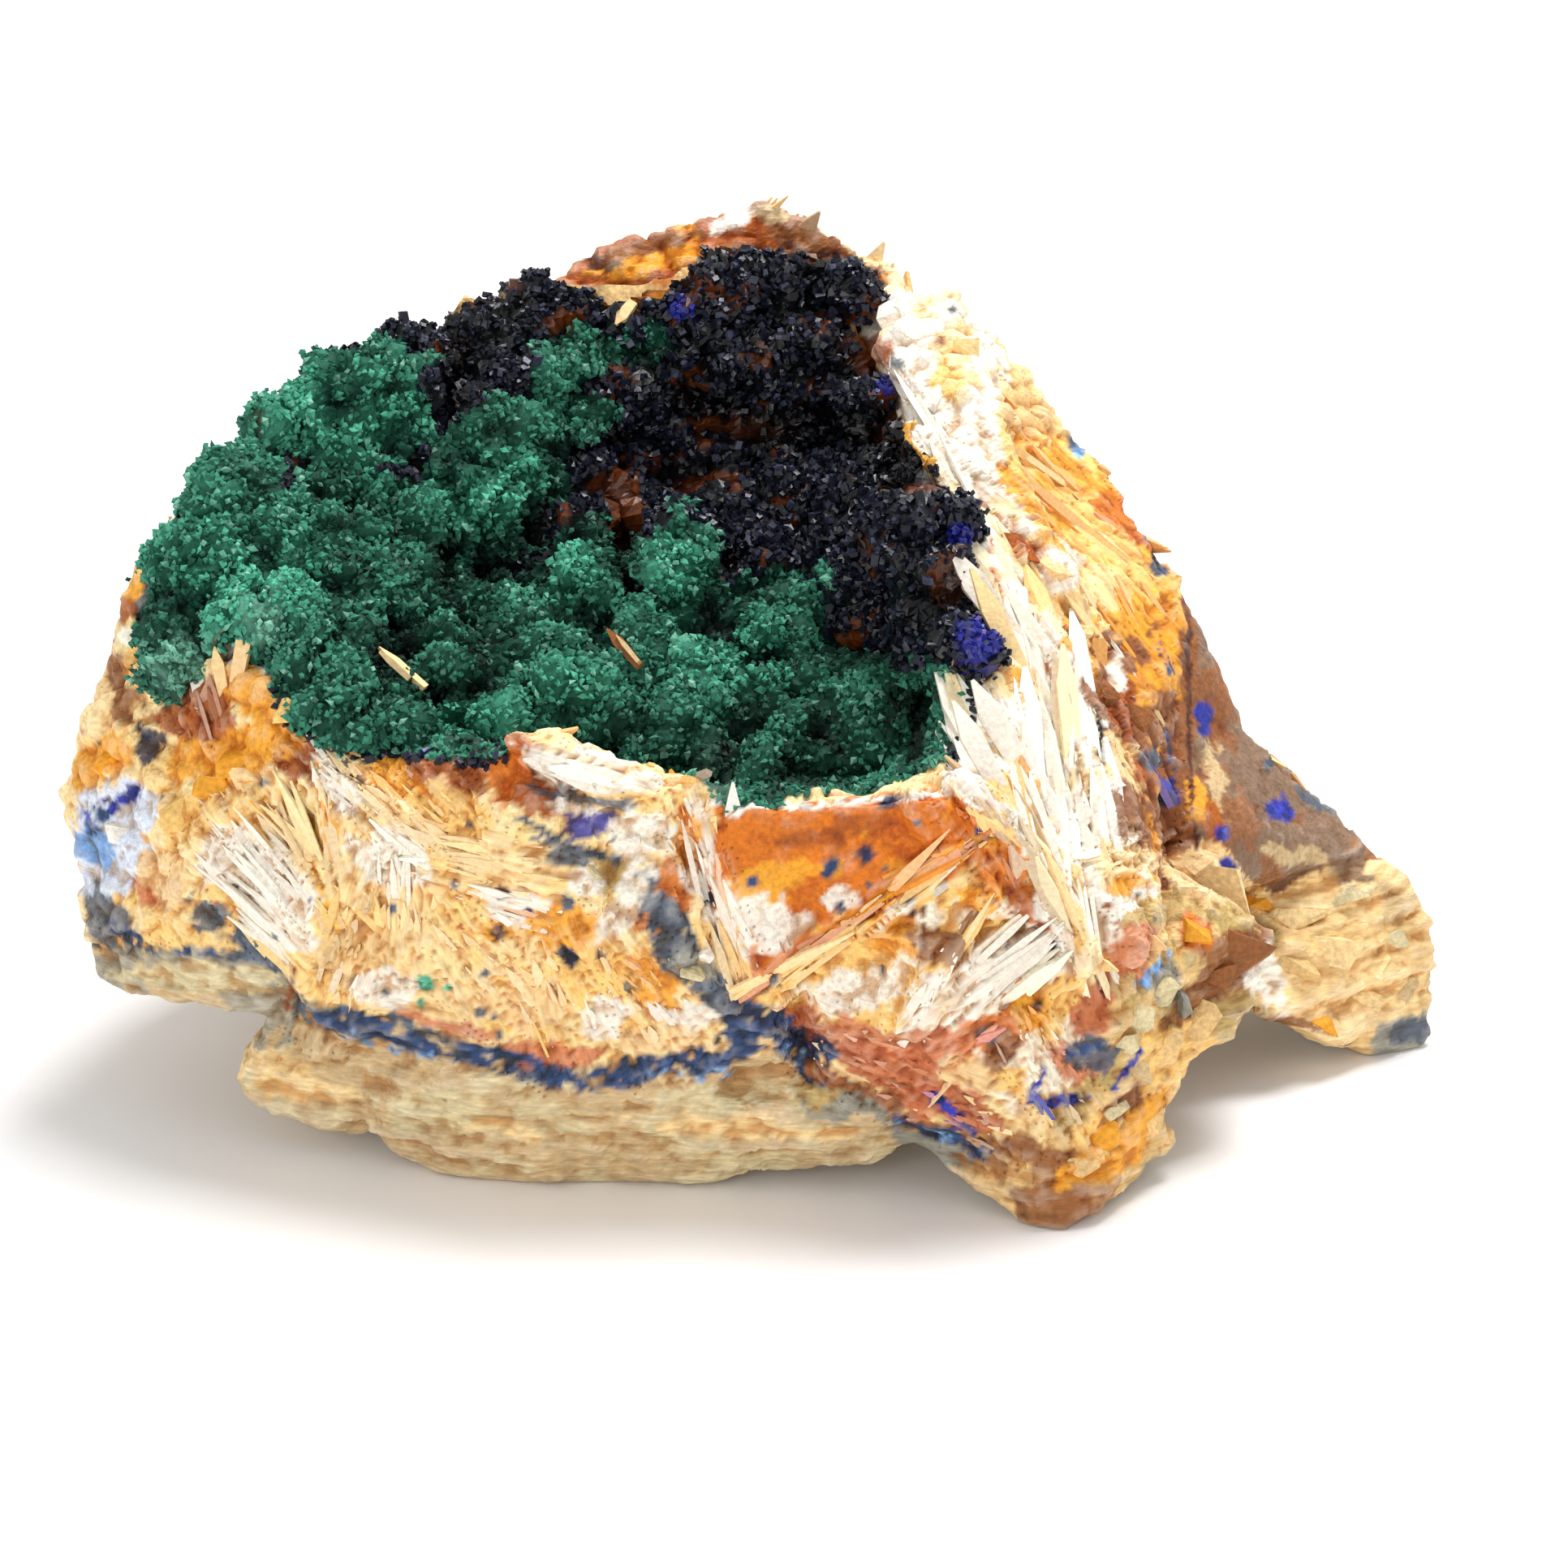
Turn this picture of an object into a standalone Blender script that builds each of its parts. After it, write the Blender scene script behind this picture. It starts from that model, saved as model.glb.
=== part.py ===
"""Azurite and malachite on a broken piece of baryte and quartz rock.

The rock is a heap of convex broken chunks, fused into one solid. A hollow in its sloping top is
lined with two crusts of crystals, green malachite at the front and left and dark blue azurite at
the back and right. Blades of baryte stand along the rim and fan out over the front wall.

Metres, +Z up, the front towards -Y. The origin is at the bottom centre of the box.
"""

import math
import random

import bmesh
import bpy
import numpy as np
from mathutils import Matrix, Vector, noise
from mathutils.bvhtree import BVHTree

MM = 0.001

# The photograph's viewpoint: places on the rock are given as it shows them.
VIEW_ELEVATION = math.radians(22)
VIEW_DISTANCE = 420 * MM
VIEW_CENTRE_UP = 27.7 * MM  # the picture's middle, above the front foot's level
VIEW_UP = Vector((0, math.sin(VIEW_ELEVATION), math.cos(VIEW_ELEVATION)))
VIEW_AHEAD = Vector((0, math.cos(VIEW_ELEVATION), -math.sin(VIEW_ELEVATION)))

# Where the middle of the picture meets the ground below the front foot, in the part's frame
FRONT_MIDDLE = Vector((1.5, -30.3, 0)) * MM

# How finely the fused solids are worked
ROCK_VOXEL = 0.6 * MM
CRUST_VOXEL = 0.55 * MM
ROCK_TRIANGLES = 4900
ROCK_CLEARANCE_TRIANGLES = 6500
MALACHITE_TRIANGLES = 1650
MALACHITE_CLEARANCE_TRIANGLES = 4500
AZURITE_TRIANGLES = 800
CONTACT_GAP = 0.8 * MM
ROCK_ROUGHNESS = [(0.6 * MM, 9 * MM), (0.2 * MM, 3 * MM)]  # height and size of the unevenness

# The hollow's rim plane leans towards the viewer
HOLLOW_LEAN = math.radians(21)
HOLLOW_OUT = Vector((0, -math.sin(HOLLOW_LEAN), math.cos(HOLLOW_LEAN)))


def seen(right, up, back):
    """A point that the photograph shows right and up of the front foot's level, in mm at the
    front foot's distance, and that lies this many mm behind the front foot."""
    right, up, back = right * MM, up * MM, back * MM
    sine, cosine = math.sin(VIEW_ELEVATION), math.cos(VIEW_ELEVATION)
    above = up - VIEW_CENTRE_UP
    depth = (back - up * sine) / (cosine + above * sine / VIEW_DISTANCE)
    spread = 1 + depth / VIEW_DISTANCE
    middle = FRONT_MIDDLE + VIEW_UP * VIEW_CENTRE_UP + VIEW_AHEAD * depth
    return middle + (Vector((right, 0, 0)) + VIEW_UP * above) * spread


def hidden(x, back, z):
    """A point that the photograph does not show: mm right of the picture's middle, behind the
    front foot and above the ground."""
    return FRONT_MIDDLE + Vector((x, back, z)) * MM


# The convex chunks that the rock is fused from
CHUNKS = {
    "left_lobe": [
        seen(-40.8, 40, 24), seen(-38.3, 44, 27), seen(-33, 46.5, 31), seen(-44.3, 26.5, 22),
        seen(-42.3, 31, 20), seen(-43, 18.5, 19), seen(-42.6, 14.9, 18), seen(-38.3, 14.1, 14),
        seen(-31.5, 13.2, 11.5), seen(-28, 30, 10), seen(-32, 33.5, 13), seen(-35, 24, 11.5),
        hidden(-38, 40, 12), hidden(-41, 34, 22), hidden(-20, 40, 34), hidden(-18, 14, 12),
    ],
    "front_wall": [
        seen(-24, 28.8, 8), seen(-16, 30, 6.5), seen(-8, 28.2, 5), seen(-3.5, 26.6, 4),
        seen(0.5, 26, 3.5), seen(-29.5, 12.5, 10), seen(-20, 10.2, 7.5), seen(-10, 9.2, 6),
        seen(0, 10, 4.5), seen(-21, 20, 5), seen(-8, 18.5, 3.2), seen(0, 17, 2.2),
        hidden(-26, 34, 30), hidden(4, 34, 30), hidden(-26, 30, 6), hidden(4, 30, 6),
    ],
    "right_block": [
        seen(-1, 26, 3.6), seen(6, 26.4, 3.6), seen(10.5, 27.5, 4), seen(13, 29, 6),
        seen(17, 23, 5), seen(20, 19.5, 6), seen(22.9, 17, 7.5), seen(3, 7.5, 4.5),
        seen(11, 6.2, 3), seen(17, 6, 2), seen(20.5, 7, 4), seen(24.5, 8.5, 9.5),
        seen(7, 18, 1.8), seen(14, 12.5, 1), hidden(2, 34, 28), hidden(22, 30, 24),
        hidden(4, 26, 5), hidden(22, 24, 5),
    ],
    "foot": [
        seen(17.2, -1.2, -0.6), seen(14.8, 0.2, 0.8), seen(19.2, 0.4, 1.4), seen(21.4, 2.4, 4.5),
        seen(24.8, 5.4, 9), seen(11.7, 3.5, 3.6), seen(7.5, 5.4, 5.5), seen(15, 8, 2),
        seen(20.5, 9, 3.5), hidden(20, 18, 4), hidden(9, 16, 5.5),
    ],
    "base_slab": [
        seen(-16.3, 2.2, 7), seen(-11.3, 2.5, 7.8), seen(-20.5, 3.3, 9), seen(-24.4, 5.1, 10),
        seen(-25.4, 7.6, 8.8), seen(-5.8, 3.9, 7.6), seen(1.2, 4.1, 6.6), seen(6.9, 4.8, 6.2),
        seen(-21, 9.6, 6.6), seen(-8, 8.8, 4.8), seen(2, 8.2, 4.6), seen(9.5, 7, 4.6),
        hidden(-20, 20, -0.3), hidden(-9, 21, -0.3), hidden(2, 20, 3), hidden(-24, 26, 5),
        hidden(6, 26, 6),
    ],
    "left_ledge": [
        seen(-34.9, 9, 13), seen(-33.6, 11, 13.5), seen(-30.8, 13.6, 12.5), seen(-30.2, 6.8, 12),
        seen(-25.3, 6, 11), seen(-20, 10, 8), hidden(-16, 12, 1.5), hidden(-28, 23, 3),
        hidden(-30, 25, 9), hidden(-16, 24, 2),
    ],
    "peak": [
        seen(-1.4, 64.4, 50), seen(-4.4, 62.6, 49.5), seen(3.6, 61.2, 49), seen(8, 59.2, 48),
        seen(-13.6, 60.6, 48.5), seen(-8.5, 60, 49), seen(-14, 58.2, 46), hidden(-12, 57, 30),
        hidden(1, 61, 22), hidden(10, 56, 16), hidden(-8, 40, 26), hidden(8, 38, 26),
    ],
    "back_left": [
        seen(-20.8, 55.4, 43), seen(-27, 53.2, 40.5), seen(-31, 49, 34.5), seen(-18.8, 57, 45),
        seen(-34.5, 46, 29.5), seen(-12, 58.6, 47), hidden(-36, 44, 22), hidden(-29, 50, 12),
        hidden(-18, 55, 34), hidden(-10, 30, 24), hidden(-28, 24, 20),
    ],
    "right_shoulder": [
        seen(12.8, 34.5, 12), seen(12.8, 41, 19), seen(9.8, 46.5, 26), seen(7.8, 52.5, 36),
        seen(6.6, 57, 43), seen(9.6, 59.2, 46), seen(12, 56.6, 44), seen(16.4, 52, 42),
        seen(17.8, 48.4, 39.5), seen(20.6, 44.2, 36), seen(23.2, 42, 34), seen(25, 39, 32),
        seen(20, 33, 18),
        seen(21.5, 27, 13), seen(22.5, 20, 11), hidden(24, 44, 14), hidden(16, 52, 20),
        hidden(0, 30, 14), hidden(18, 20, 6),
    ],
    "brown_ridge": [
        seen(23.1, 42.2, 36), seen(25.4, 39.6, 35), seen(26.4, 36, 33), seen(27.2, 32.8, 32),
        seen(24.6, 26, 19), seen(24.4, 21, 18), hidden(24, 44, 10), hidden(18, 48, 18),
        hidden(16, 34, 10),
    ],
    "brown_slope": [
        seen(26.8, 32.6, 31.6), seen(30.4, 29, 31.5), seen(33.4, 26, 31), seen(36.8, 23, 30.5),
        seen(29, 21.4, 25), seen(24.6, 26, 19), seen(24.4, 21, 18), hidden(28, 44, 9),
        hidden(18, 40, 10),
    ],
    "tail": [
        seen(30, 19.6, 25), seen(36.5, 22.8, 29), seen(38.6, 21.8, 30), seen(40, 20.4, 30),
        seen(40.1, 15, 29.5), seen(40.5, 13.8, 29), seen(39.9, 10.3, 27.6), seen(36.8, 10.3, 27),
        seen(34.7, 11.2, 26), seen(31.2, 12.8, 23.5), seen(28.4, 13.8, 20), hidden(37, 38, 9),
        hidden(31, 43, 4), hidden(38, 35, 1), hidden(22, 30, 8), hidden(20, 22, 10),
    ],
    "yellow_jut": [
        seen(24.2, 23.2, 14), seen(29, 19.4, 15), seen(30.6, 18, 17), seen(27.4, 14, 13.5),
        seen(27.2, 11, 12.8), seen(24, 9, 10), seen(22.7, 17, 8.5), hidden(22, 26, 12),
        hidden(26, 24, 7),
    ],
    "back_body": [
        hidden(-30, 46, 30), hidden(-24, 52, 22), hidden(-4, 58, 24), hidden(14, 55, 20),
        hidden(24, 46, 18), hidden(-33, 40, 10), hidden(-16, 50, 4), hidden(6, 53, 6),
        hidden(22, 44, 7), hidden(-20, 22, 6), hidden(10, 20, 7), hidden(-20, 24, 22),
        hidden(10, 22, 22),
    ],
    "core": [
        hidden(-30, 22, 12), hidden(-32, 24, 28), hidden(-24, 14, 7), hidden(-24, 14, 24),
        hidden(-4, 9, 5), hidden(0, 8, 22), hidden(17, 9, 5), hidden(16, 10, 18),
        hidden(-3, 6.4, 9), hidden(5, 5.6, 7.5), hidden(6, 6.4, 13),
        hidden(28, 30, 6), hidden(20, 30, 26), hidden(16, 46, 8), hidden(12, 46, 34),
        hidden(-20, 46, 6), hidden(-22, 46, 34), hidden(0, 52, 8), hidden(0, 52, 38),
    ],
    "back_bulge": [
        hidden(-24, 51, 28), hidden(-17, 56, 24), hidden(-10, 58, 10), hidden(-22, 49, 9),
        hidden(5, 60.5, 27), hidden(8, 58, 10), hidden(16, 54, 28), hidden(21, 50, 12),
        hidden(14, 52, 36), hidden(-4, 50, 5), hidden(-8, 56, 38),
    ],
    "back_corner": [
        hidden(-37, 41, 20), hidden(-33, 47, 26), hidden(-26, 51, 18), hidden(-33, 44, 9),
        hidden(-37, 36, 9), hidden(-24, 46, 6), hidden(-26, 34, 4), hidden(-30, 28, 7),
    ],
    "back_foot": [
        hidden(-20, 42, -0.3), hidden(-12, 46, -0.3), hidden(-14, 38, -0.3), hidden(-26, 44, 10),
        hidden(-8, 52, 10), hidden(-10, 34, 9), hidden(-24, 36, 9),
    ],
}

# The hollow's rim, clockwise from its left end, and how deep the floor lies there
HOLLOW_RIM = [
    (seen(-31, 38, 19), 4.5), (seen(-26.5, 32, 12), 4), (seen(-21, 30, 9.5), 4.5),
    (seen(-12, 29.2, 7.5), 5), (seen(-4, 27.4, 6), 5.5), (seen(5, 27, 5.6), 6),
    (seen(9.2, 29, 7), 7), (seen(11, 33.5, 12), 9), (seen(11.2, 41, 20), 10),
    (seen(8.2, 46, 27), 11), (seen(6, 51.5, 35.5), 11), (seen(4.2, 56.6, 42), 10),
    (seen(0, 59.8, 46), 9), (seen(-6, 58.6, 45), 9), (seen(-14, 56.4, 43), 7.5),
    (seen(-20, 54, 40), 6), (seen(-23.5, 50, 35), 5.5), (seen(-28, 45, 28), 5),
]
HOLLOW_FLOOR_SHARE = 0.74
HOLLOW_MOUTH = 16 * MM

# Baryte blades along the rim: both ends as the photograph shows them, width and thickness, in mm
RIM_BLADES = [
    ((6.2, 57.6), (13.0, 49.5), 3.6, 2.6),
    ((7.4, 53.0), (15.5, 43.5), 4.0, 2.8),
    ((8.6, 48.0), (18.0, 38.5), 3.8, 2.8),
    ((9.8, 43.6), (18.5, 32.0), 3.8, 3.0),
    ((10.2, 42.0), (14.5, 30.5), 3.0, 2.8),
    ((11.7, 34.0), (16.6, 21.0), 3.8, 3.2),
    ((10.6, 27.8), (18.6, 16.0), 3.2, 2.8),
    ((15.4, 37.0), (20.6, 22.5), 3.2, 2.6),
    ((7.6, 27.0), (13.6, 19.5), 2.4, 2.2),
    ((17.5, 30.0), (21.0, 17.0), 3.0, 2.4),
    ((-16.2, 30.0), (-8.0, 26.2), 2.8, 2.4),
    ((-9.0, 28.0), (-6.0, 25.0), 2.2, 2.0),
]
# Fans of baryte on the front wall: the point they spring from, the reach of their blades in mm,
# the first and last bearing in degrees from the picture's right, and the number of blades
FANS = [
    ((-28.0, 30.0), 12.0, -84, -44, 5),
    ((-18.5, 26.0), 11.5, -50, -8, 4),
    ((-31.5, 24.0), 10.5, -76, -28, 4),
    ((7.0, 12.5), 11.0, 24, 66, 4),
    ((18.6, 22.5), 6.0, -72, -20, 3),
    ((12.8, 23.0), 11.0, 198, 222, 3),
]
FAN_BLADE = (2.6, 2.2)
BLADE_TAPER = ((0, 0.25), (0.18, 0.85), (0.6, 1.0), (1, 0.6))  # share of length, share of width

# Crevices between the blocks of the front: both ends, width at the surface and depth, in mm
CREVICES = [
    ((-28.2, 30.6), (-27.0, 20.5), 2.0, 3.0),
    ((-27.0, 20.5), (-30.0, 14.5), 1.6, 2.6),
    ((-7.2, 25.6), (-2.2, 14.4), 2.0, 2.4),
    ((-2.2, 14.4), (5.5, 8.6), 1.6, 2.0),
    ((23.4, 32.0), (24.2, 18.5), 2.4, 2.6),
    ((16.5, 22.5), (13.0, 13.5), 1.6, 2.2),
]

# Malachite, as right and up in the photograph and radius, in mm
MALACHITE_LUMPS = [
    (-26.3, 51.0, 3.0), (-23.3, 50.2, 2.8), (-28.4, 49.2, 2.6), (-29.8, 50.6, 1.9),
    (-25.0, 47.6, 2.6), (-30.6, 48.6, 1.6), (-23.0, 51.4, 1.6), (-27.8, 45.2, 2.4),
    (-25.4, 45.6, 2.2), (-29.4, 43.8, 1.9), (-33.8, 43.4, 2.9), (-35.2, 40.0, 2.9),
    (-36.8, 36.8, 2.6), (-32.4, 41.0, 2.6), (-37.4, 34.0, 1.7), (-30.6, 39.8, 2.7),
    (-28.4, 38.4, 3.0), (-29.8, 35.8, 2.5), (-26.2, 41.0, 2.7), (-24.2, 38.0, 3.0),
    (-26.8, 34.2, 2.7), (-28.2, 32.8, 1.9), (-23.2, 44.0, 2.5), (-20.2, 46.0, 2.3),
    (-18.2, 48.0, 2.6), (-20.2, 43.0, 2.7), (-17.2, 45.0, 2.5), (-15.8, 47.0, 2.2),
    (-18.2, 42.0, 2.2), (-18.8, 49.2, 2.0), (-17.2, 51.0, 1.8), (-16.2, 52.2, 1.5),
    (-13.8, 54.0, 1.8), (-11.8, 53.6, 1.5), (-9.8, 54.6, 1.5), (-7.8, 54.8, 1.3),
    (-13.2, 49.4, 2.0), (-12.2, 51.0, 1.3), (-13.0, 42.6, 2.1), (-13.8, 40.8, 2.1),
    (-11.8, 41.4, 1.8), (-12.8, 39.0, 2.4), (-6.8, 42.0, 1.8), (-7.3, 40.4, 2.1),
    (-6.3, 38.8, 1.9), (-3.8, 39.0, 1.8), (-1.2, 39.4, 1.8), (1.2, 40.0, 1.8),
    (3.2, 40.8, 1.2), (1.7, 38.0, 1.8), (-0.8, 37.4, 2.1), (-20.8, 37.0, 3.0),
    (-17.3, 38.0, 2.6), (-23.3, 34.4, 2.7), (-20.3, 33.0, 2.9), (-24.2, 31.6, 2.2),
    (-16.3, 34.4, 3.1), (-13.3, 36.0, 3.1), (-10.3, 37.0, 2.7), (-13.3, 32.0, 3.1),
    (-16.4, 31.0, 2.0), (-9.3, 33.4, 3.1), (-5.8, 36.0, 3.1), (-4.8, 32.0, 3.1),
    (-1.3, 34.6, 2.7), (-1.8, 31.0, 2.9), (1.8, 32.6, 2.9), (2.2, 29.2, 2.4),
    (-0.8, 27.8, 1.9), (-4.3, 28.4, 1.9), (5.7, 33.6, 2.7), (5.7, 30.0, 2.7),
    (8.7, 33.0, 2.2), (9.2, 28.2, 1.4), (-7.3, 29.6, 2.1), (-10.3, 30.6, 2.1),
    (10.6, 34.3, 1.2),
]
# Azurite, in the same way
AZURITE_LUMPS = [
    (-18.3, 55.0, 2.7), (-20.3, 52.6, 2.2), (-16.3, 56.4, 2.2), (-13.8, 56.0, 1.9),
    (-21.2, 49.2, 2.2), (-18.6, 52.0, 2.0), (-15.6, 54.0, 1.8), (-11.2, 56.2, 1.6),
    (-4.3, 57.0, 3.0), (-0.8, 57.6, 3.0), (1.7, 58.2, 2.4), (3.7, 56.6, 2.2),
    (-5.3, 54.0, 2.7), (-1.8, 53.6, 3.1), (1.7, 53.6, 2.9), (4.7, 52.6, 2.2),
    (5.6, 49.6, 2.2), (3.7, 49.0, 2.4), (-9.3, 52.4, 2.3), (-11.4, 51.8, 1.6),
    (-7.3, 51.0, 2.2), (-3.3, 49.6, 2.6), (-0.3, 49.0, 2.6), (-8.3, 48.0, 2.2),
    (-4.3, 46.0, 2.6), (-10.8, 46.8, 1.8), (-13.2, 45.0, 2.0), (-11.0, 44.0, 1.7),
    (-3.3, 43.0, 2.5), (-0.8, 44.0, 2.6), (1.7, 45.0, 2.3), (4.7, 46.0, 1.7),
    (5.7, 43.6, 3.0), (7.7, 41.6, 2.7), (4.7, 40.0, 2.6), (6.7, 38.0, 3.0),
    (9.2, 39.0, 2.1), (10.6, 43.0, 1.5), (8.8, 36.2, 2.2), (-3.8, 41.0, 1.6),
    (-9.6, 42.4, 1.5), (1.8, 42.4, 2.2), (4.4, 35.8, 2.0), (-6.8, 45.0, 1.7),
    (10.9, 37.2, 1.3), (-12.4, 57.0, 1.8), (-10.2, 57.2, 1.8), (-8.2, 57.4, 1.9),
    (-6.2, 57.6, 2.2), (10.2, 39.6, 2.0), (10.0, 35.4, 1.9), (8.8, 43.2, 2.0),
    (7.0, 47.0, 1.9), (6.4, 50.8, 1.9), (11.4, 34.6, 1.6),
]
LUMP_SINK = 0.35  # share of a lump's radius that is under the rock's surface
# Knobs of malachite that stand well clear of the crust: right, up, radius and height, in mm
MALACHITE_KNOBS = [
    (-13.0, 42.6, 1.9, 4.5), (-13.6, 40.8, 2.0, 3.4), (-12.0, 41.0, 1.7, 3.6),
    (-12.8, 39.0, 2.3, 2.6), (-6.8, 42.0, 1.8, 4.2), (-7.2, 40.2, 2.0, 3.0),
    (-6.2, 38.8, 1.9, 2.4), (-20.4, 46.2, 2.2, 2.6), (-18.4, 48.2, 2.3, 2.6),
    (-17.4, 44.8, 2.3, 2.2), (-18.8, 49.8, 1.8, 2.0), (-26.5, 51.2, 2.6, 1.8),
    (-16.0, 52.2, 1.5, 1.4), (-12.2, 50.6, 1.5, 1.6),
]

# Where each crust lies, as an outline in the photograph, in mm right and up
MALACHITE_OUTLINE = [
    (-38.8, 39), (-36.3, 44), (-33.8, 46), (-29, 46.8), (-31.5, 48.8), (-30.3, 52.4), (-28.3, 53.6),
    (-25.3, 54), (-22.2, 53.4), (-23, 50), (-23.3, 47), (-21.3, 46.5), (-20.8, 48.5), (-18.3, 50.5),
    (-16.3, 53), (-14.3, 55), (-7.3, 55.6), (-7, 54.2), (-10.8, 53), (-11, 50), (-13.8, 47.5),
    (-13.3, 45.5), (-11.3, 43.5), (-10, 40), (-8.5, 40.2), (-6.5, 42.5), (-4.5, 40.5), (-0.3, 40.8),
    (3.7, 41.5), (3.2, 37.5), (7.2, 36), (12, 34.8), (10, 32.5), (10, 27.6), (5.7, 27), (-0.3, 26.6),
    (-4.3, 27), (-8.8, 29), (-16.3, 30.4), (-22.3, 30), (-26.8, 30.6), (-29.8, 32.5), (-32, 36.5),
    (-35.8, 36), (-38, 33.4),
]
AZURITE_OUTLINE = [
    (-23.3, 46.5), (-22.6, 52), (-21, 55.4), (-17.8, 57.3), (-15, 57.8), (-12.3, 56.6), (-8.8, 56),
    (-5.8, 57.8), (-4.3, 59.4), (-0.3, 59.6), (3.7, 59.2), (5.6, 57.8), (4.4, 56), (4.7, 54),
    (7, 52), (7.9, 48), (9.4, 46), (12.6, 43), (11.9, 41.5), (10, 40), (12.6, 37.5), (13, 34.5),
    (7.2, 35.8), (3.2, 37.5), (3.7, 41.5), (-4.5, 40.5), (-6.5, 43.5), (-8.5, 40.2), (-10, 39.5),
    (-11.3, 43.5), (-13.8, 46), (-11, 50), (-10.8, 53), (-7.3, 54), (-7.3, 55.8), (-14.3, 55),
    (-16.3, 53), (-18.3, 50.5), (-20.8, 48.5),
]
FILL_SPACING = 2.1  # mm between the small lumps that fill an outline
FILL_RADIUS = (1.3, 1.9)
FILL_SEED = 7


def clear_scene():
    for thing in list(bpy.data.objects):
        bpy.data.objects.remove(thing)


def make_material(name, colour, roughness):
    material = bpy.data.materials.new(name)
    material.use_nodes = True
    shader = material.node_tree.nodes["Principled BSDF"]
    shader.inputs["Base Color"].default_value = (*colour, 1)
    shader.inputs["Roughness"].default_value = roughness
    return material


def new_object(name, mesh, collection):
    thing = bpy.data.objects.new(name, mesh)
    collection.objects.link(thing)
    return thing


def mesh_from(name, bm):
    mesh = bpy.data.meshes.new(name)
    bm.to_mesh(mesh)
    bm.free()
    return mesh


def evaluated_mesh(thing):
    """The mesh of an object with its modifiers applied."""
    graph = bpy.context.evaluated_depsgraph_get()
    graph.update()
    return bpy.data.meshes.new_from_object(thing.evaluated_get(graph))


def apply_modifiers(thing):
    mesh = evaluated_mesh(thing)
    thing.modifiers.clear()
    thing.data = mesh


def add_hull(bm, points):
    """Adds the convex chunk that these corners span."""
    corners = [bm.verts.new(point) for point in points]
    made = bmesh.ops.convex_hull(bm, input=corners)
    inside = {v for v in made["geom_interior"] if isinstance(v, bmesh.types.BMVert)}
    loose = inside | {v for v in corners if v.is_valid and not v.link_faces}
    bmesh.ops.delete(bm, geom=list(loose), context="VERTS")


def fuse(thing, voxel):
    """Makes overlapping closed shells one skin."""
    remesh = thing.modifiers.new("Fuse", "REMESH")
    remesh.mode = "VOXEL"
    remesh.voxel_size = voxel
    apply_modifiers(thing)


def thin_out(thing, triangles):
    """Simplifies a skin to about this many triangles."""
    thing.data.calc_loop_triangles()
    decimate = thing.modifiers.new("Simplify", "DECIMATE")
    decimate.ratio = triangles / len(thing.data.loop_triangles)
    decimate.use_collapse_triangulate = True
    apply_modifiers(thing)


def combine(thing, other, operation):
    boolean = thing.modifiers.new("Combine", "BOOLEAN")
    boolean.operation = operation
    boolean.solver = "MANIFOLD"
    boolean.object = other
    apply_modifiers(thing)


def roughen(thing, layers):
    """Pushes each point along its normal by fractal noise: layers are (height, size) pairs."""
    moved = []
    for vertex in thing.data.vertices:
        height = 0.0
        for tall, size in layers:
            height += tall * noise.fractal(vertex.co / size, 0.9, 2.1, 3)
        moved.append(vertex.co + vertex.normal * height)
    for vertex, place in zip(thing.data.vertices, moved):
        vertex.co = place
    thing.data.update()


def inflated_copy(thing, distance, triangles, collection):
    """A cutter whose skin lies this far outside the original's."""
    copy = new_object(thing.name + "_clearance", thing.data.copy(), collection)
    moved = [v.co + v.normal * distance for v in copy.data.vertices]
    for vertex, place in zip(copy.data.vertices, moved):
        vertex.co = place
    fuse(copy, CRUST_VOXEL)
    thin_out(copy, triangles)
    copy.hide_render = True
    copy.display_type = "WIRE"
    return copy


def keep_largest_body(thing):
    """Removes crumbs that a cut left apart from the main body."""
    bm = bmesh.new()
    bm.from_mesh(thing.data)
    bodies, found = [], set()
    for start in bm.verts:
        if start in found:
            continue
        body, edge = {start}, [start]
        while edge:
            for link in edge.pop().link_edges:
                for vertex in link.verts:
                    if vertex not in body:
                        body.add(vertex)
                        edge.append(vertex)
        found |= body
        bodies.append(body)
    largest = max(bodies, key=len)
    bmesh.ops.delete(bm, geom=[v for v in bm.verts if v not in largest], context="VERTS")
    bm.to_mesh(thing.data)
    bm.free()
    return len(bodies)


def surface_of(thing):
    bm = bmesh.new()
    bm.from_mesh(thing.data)
    tree = BVHTree.FromBMesh(bm)
    bm.free()
    return tree


def on_surface(tree, right, up):
    """Where the photograph's line of sight through this place meets the surface, and its normal."""
    eye = FRONT_MIDDLE + VIEW_UP * VIEW_CENTRE_UP - VIEW_AHEAD * VIEW_DISTANCE
    aim = FRONT_MIDDLE + Vector((right * MM, 0, 0)) + VIEW_UP * up * MM
    place, normal, _, _ = tree.ray_cast(eye, (aim - eye).normalized())
    return place, normal


def inside(outline, x, y):
    """Whether a place lies inside a closed outline."""
    crossings = 0
    for (ax, ay), (bx, by) in zip(outline, outline[1:] + outline[:1]):
        if (ay > y) != (by > y) and x < ax + (y - ay) * (bx - ax) / (by - ay):
            crossings += 1
    return crossings % 2 == 1


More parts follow.
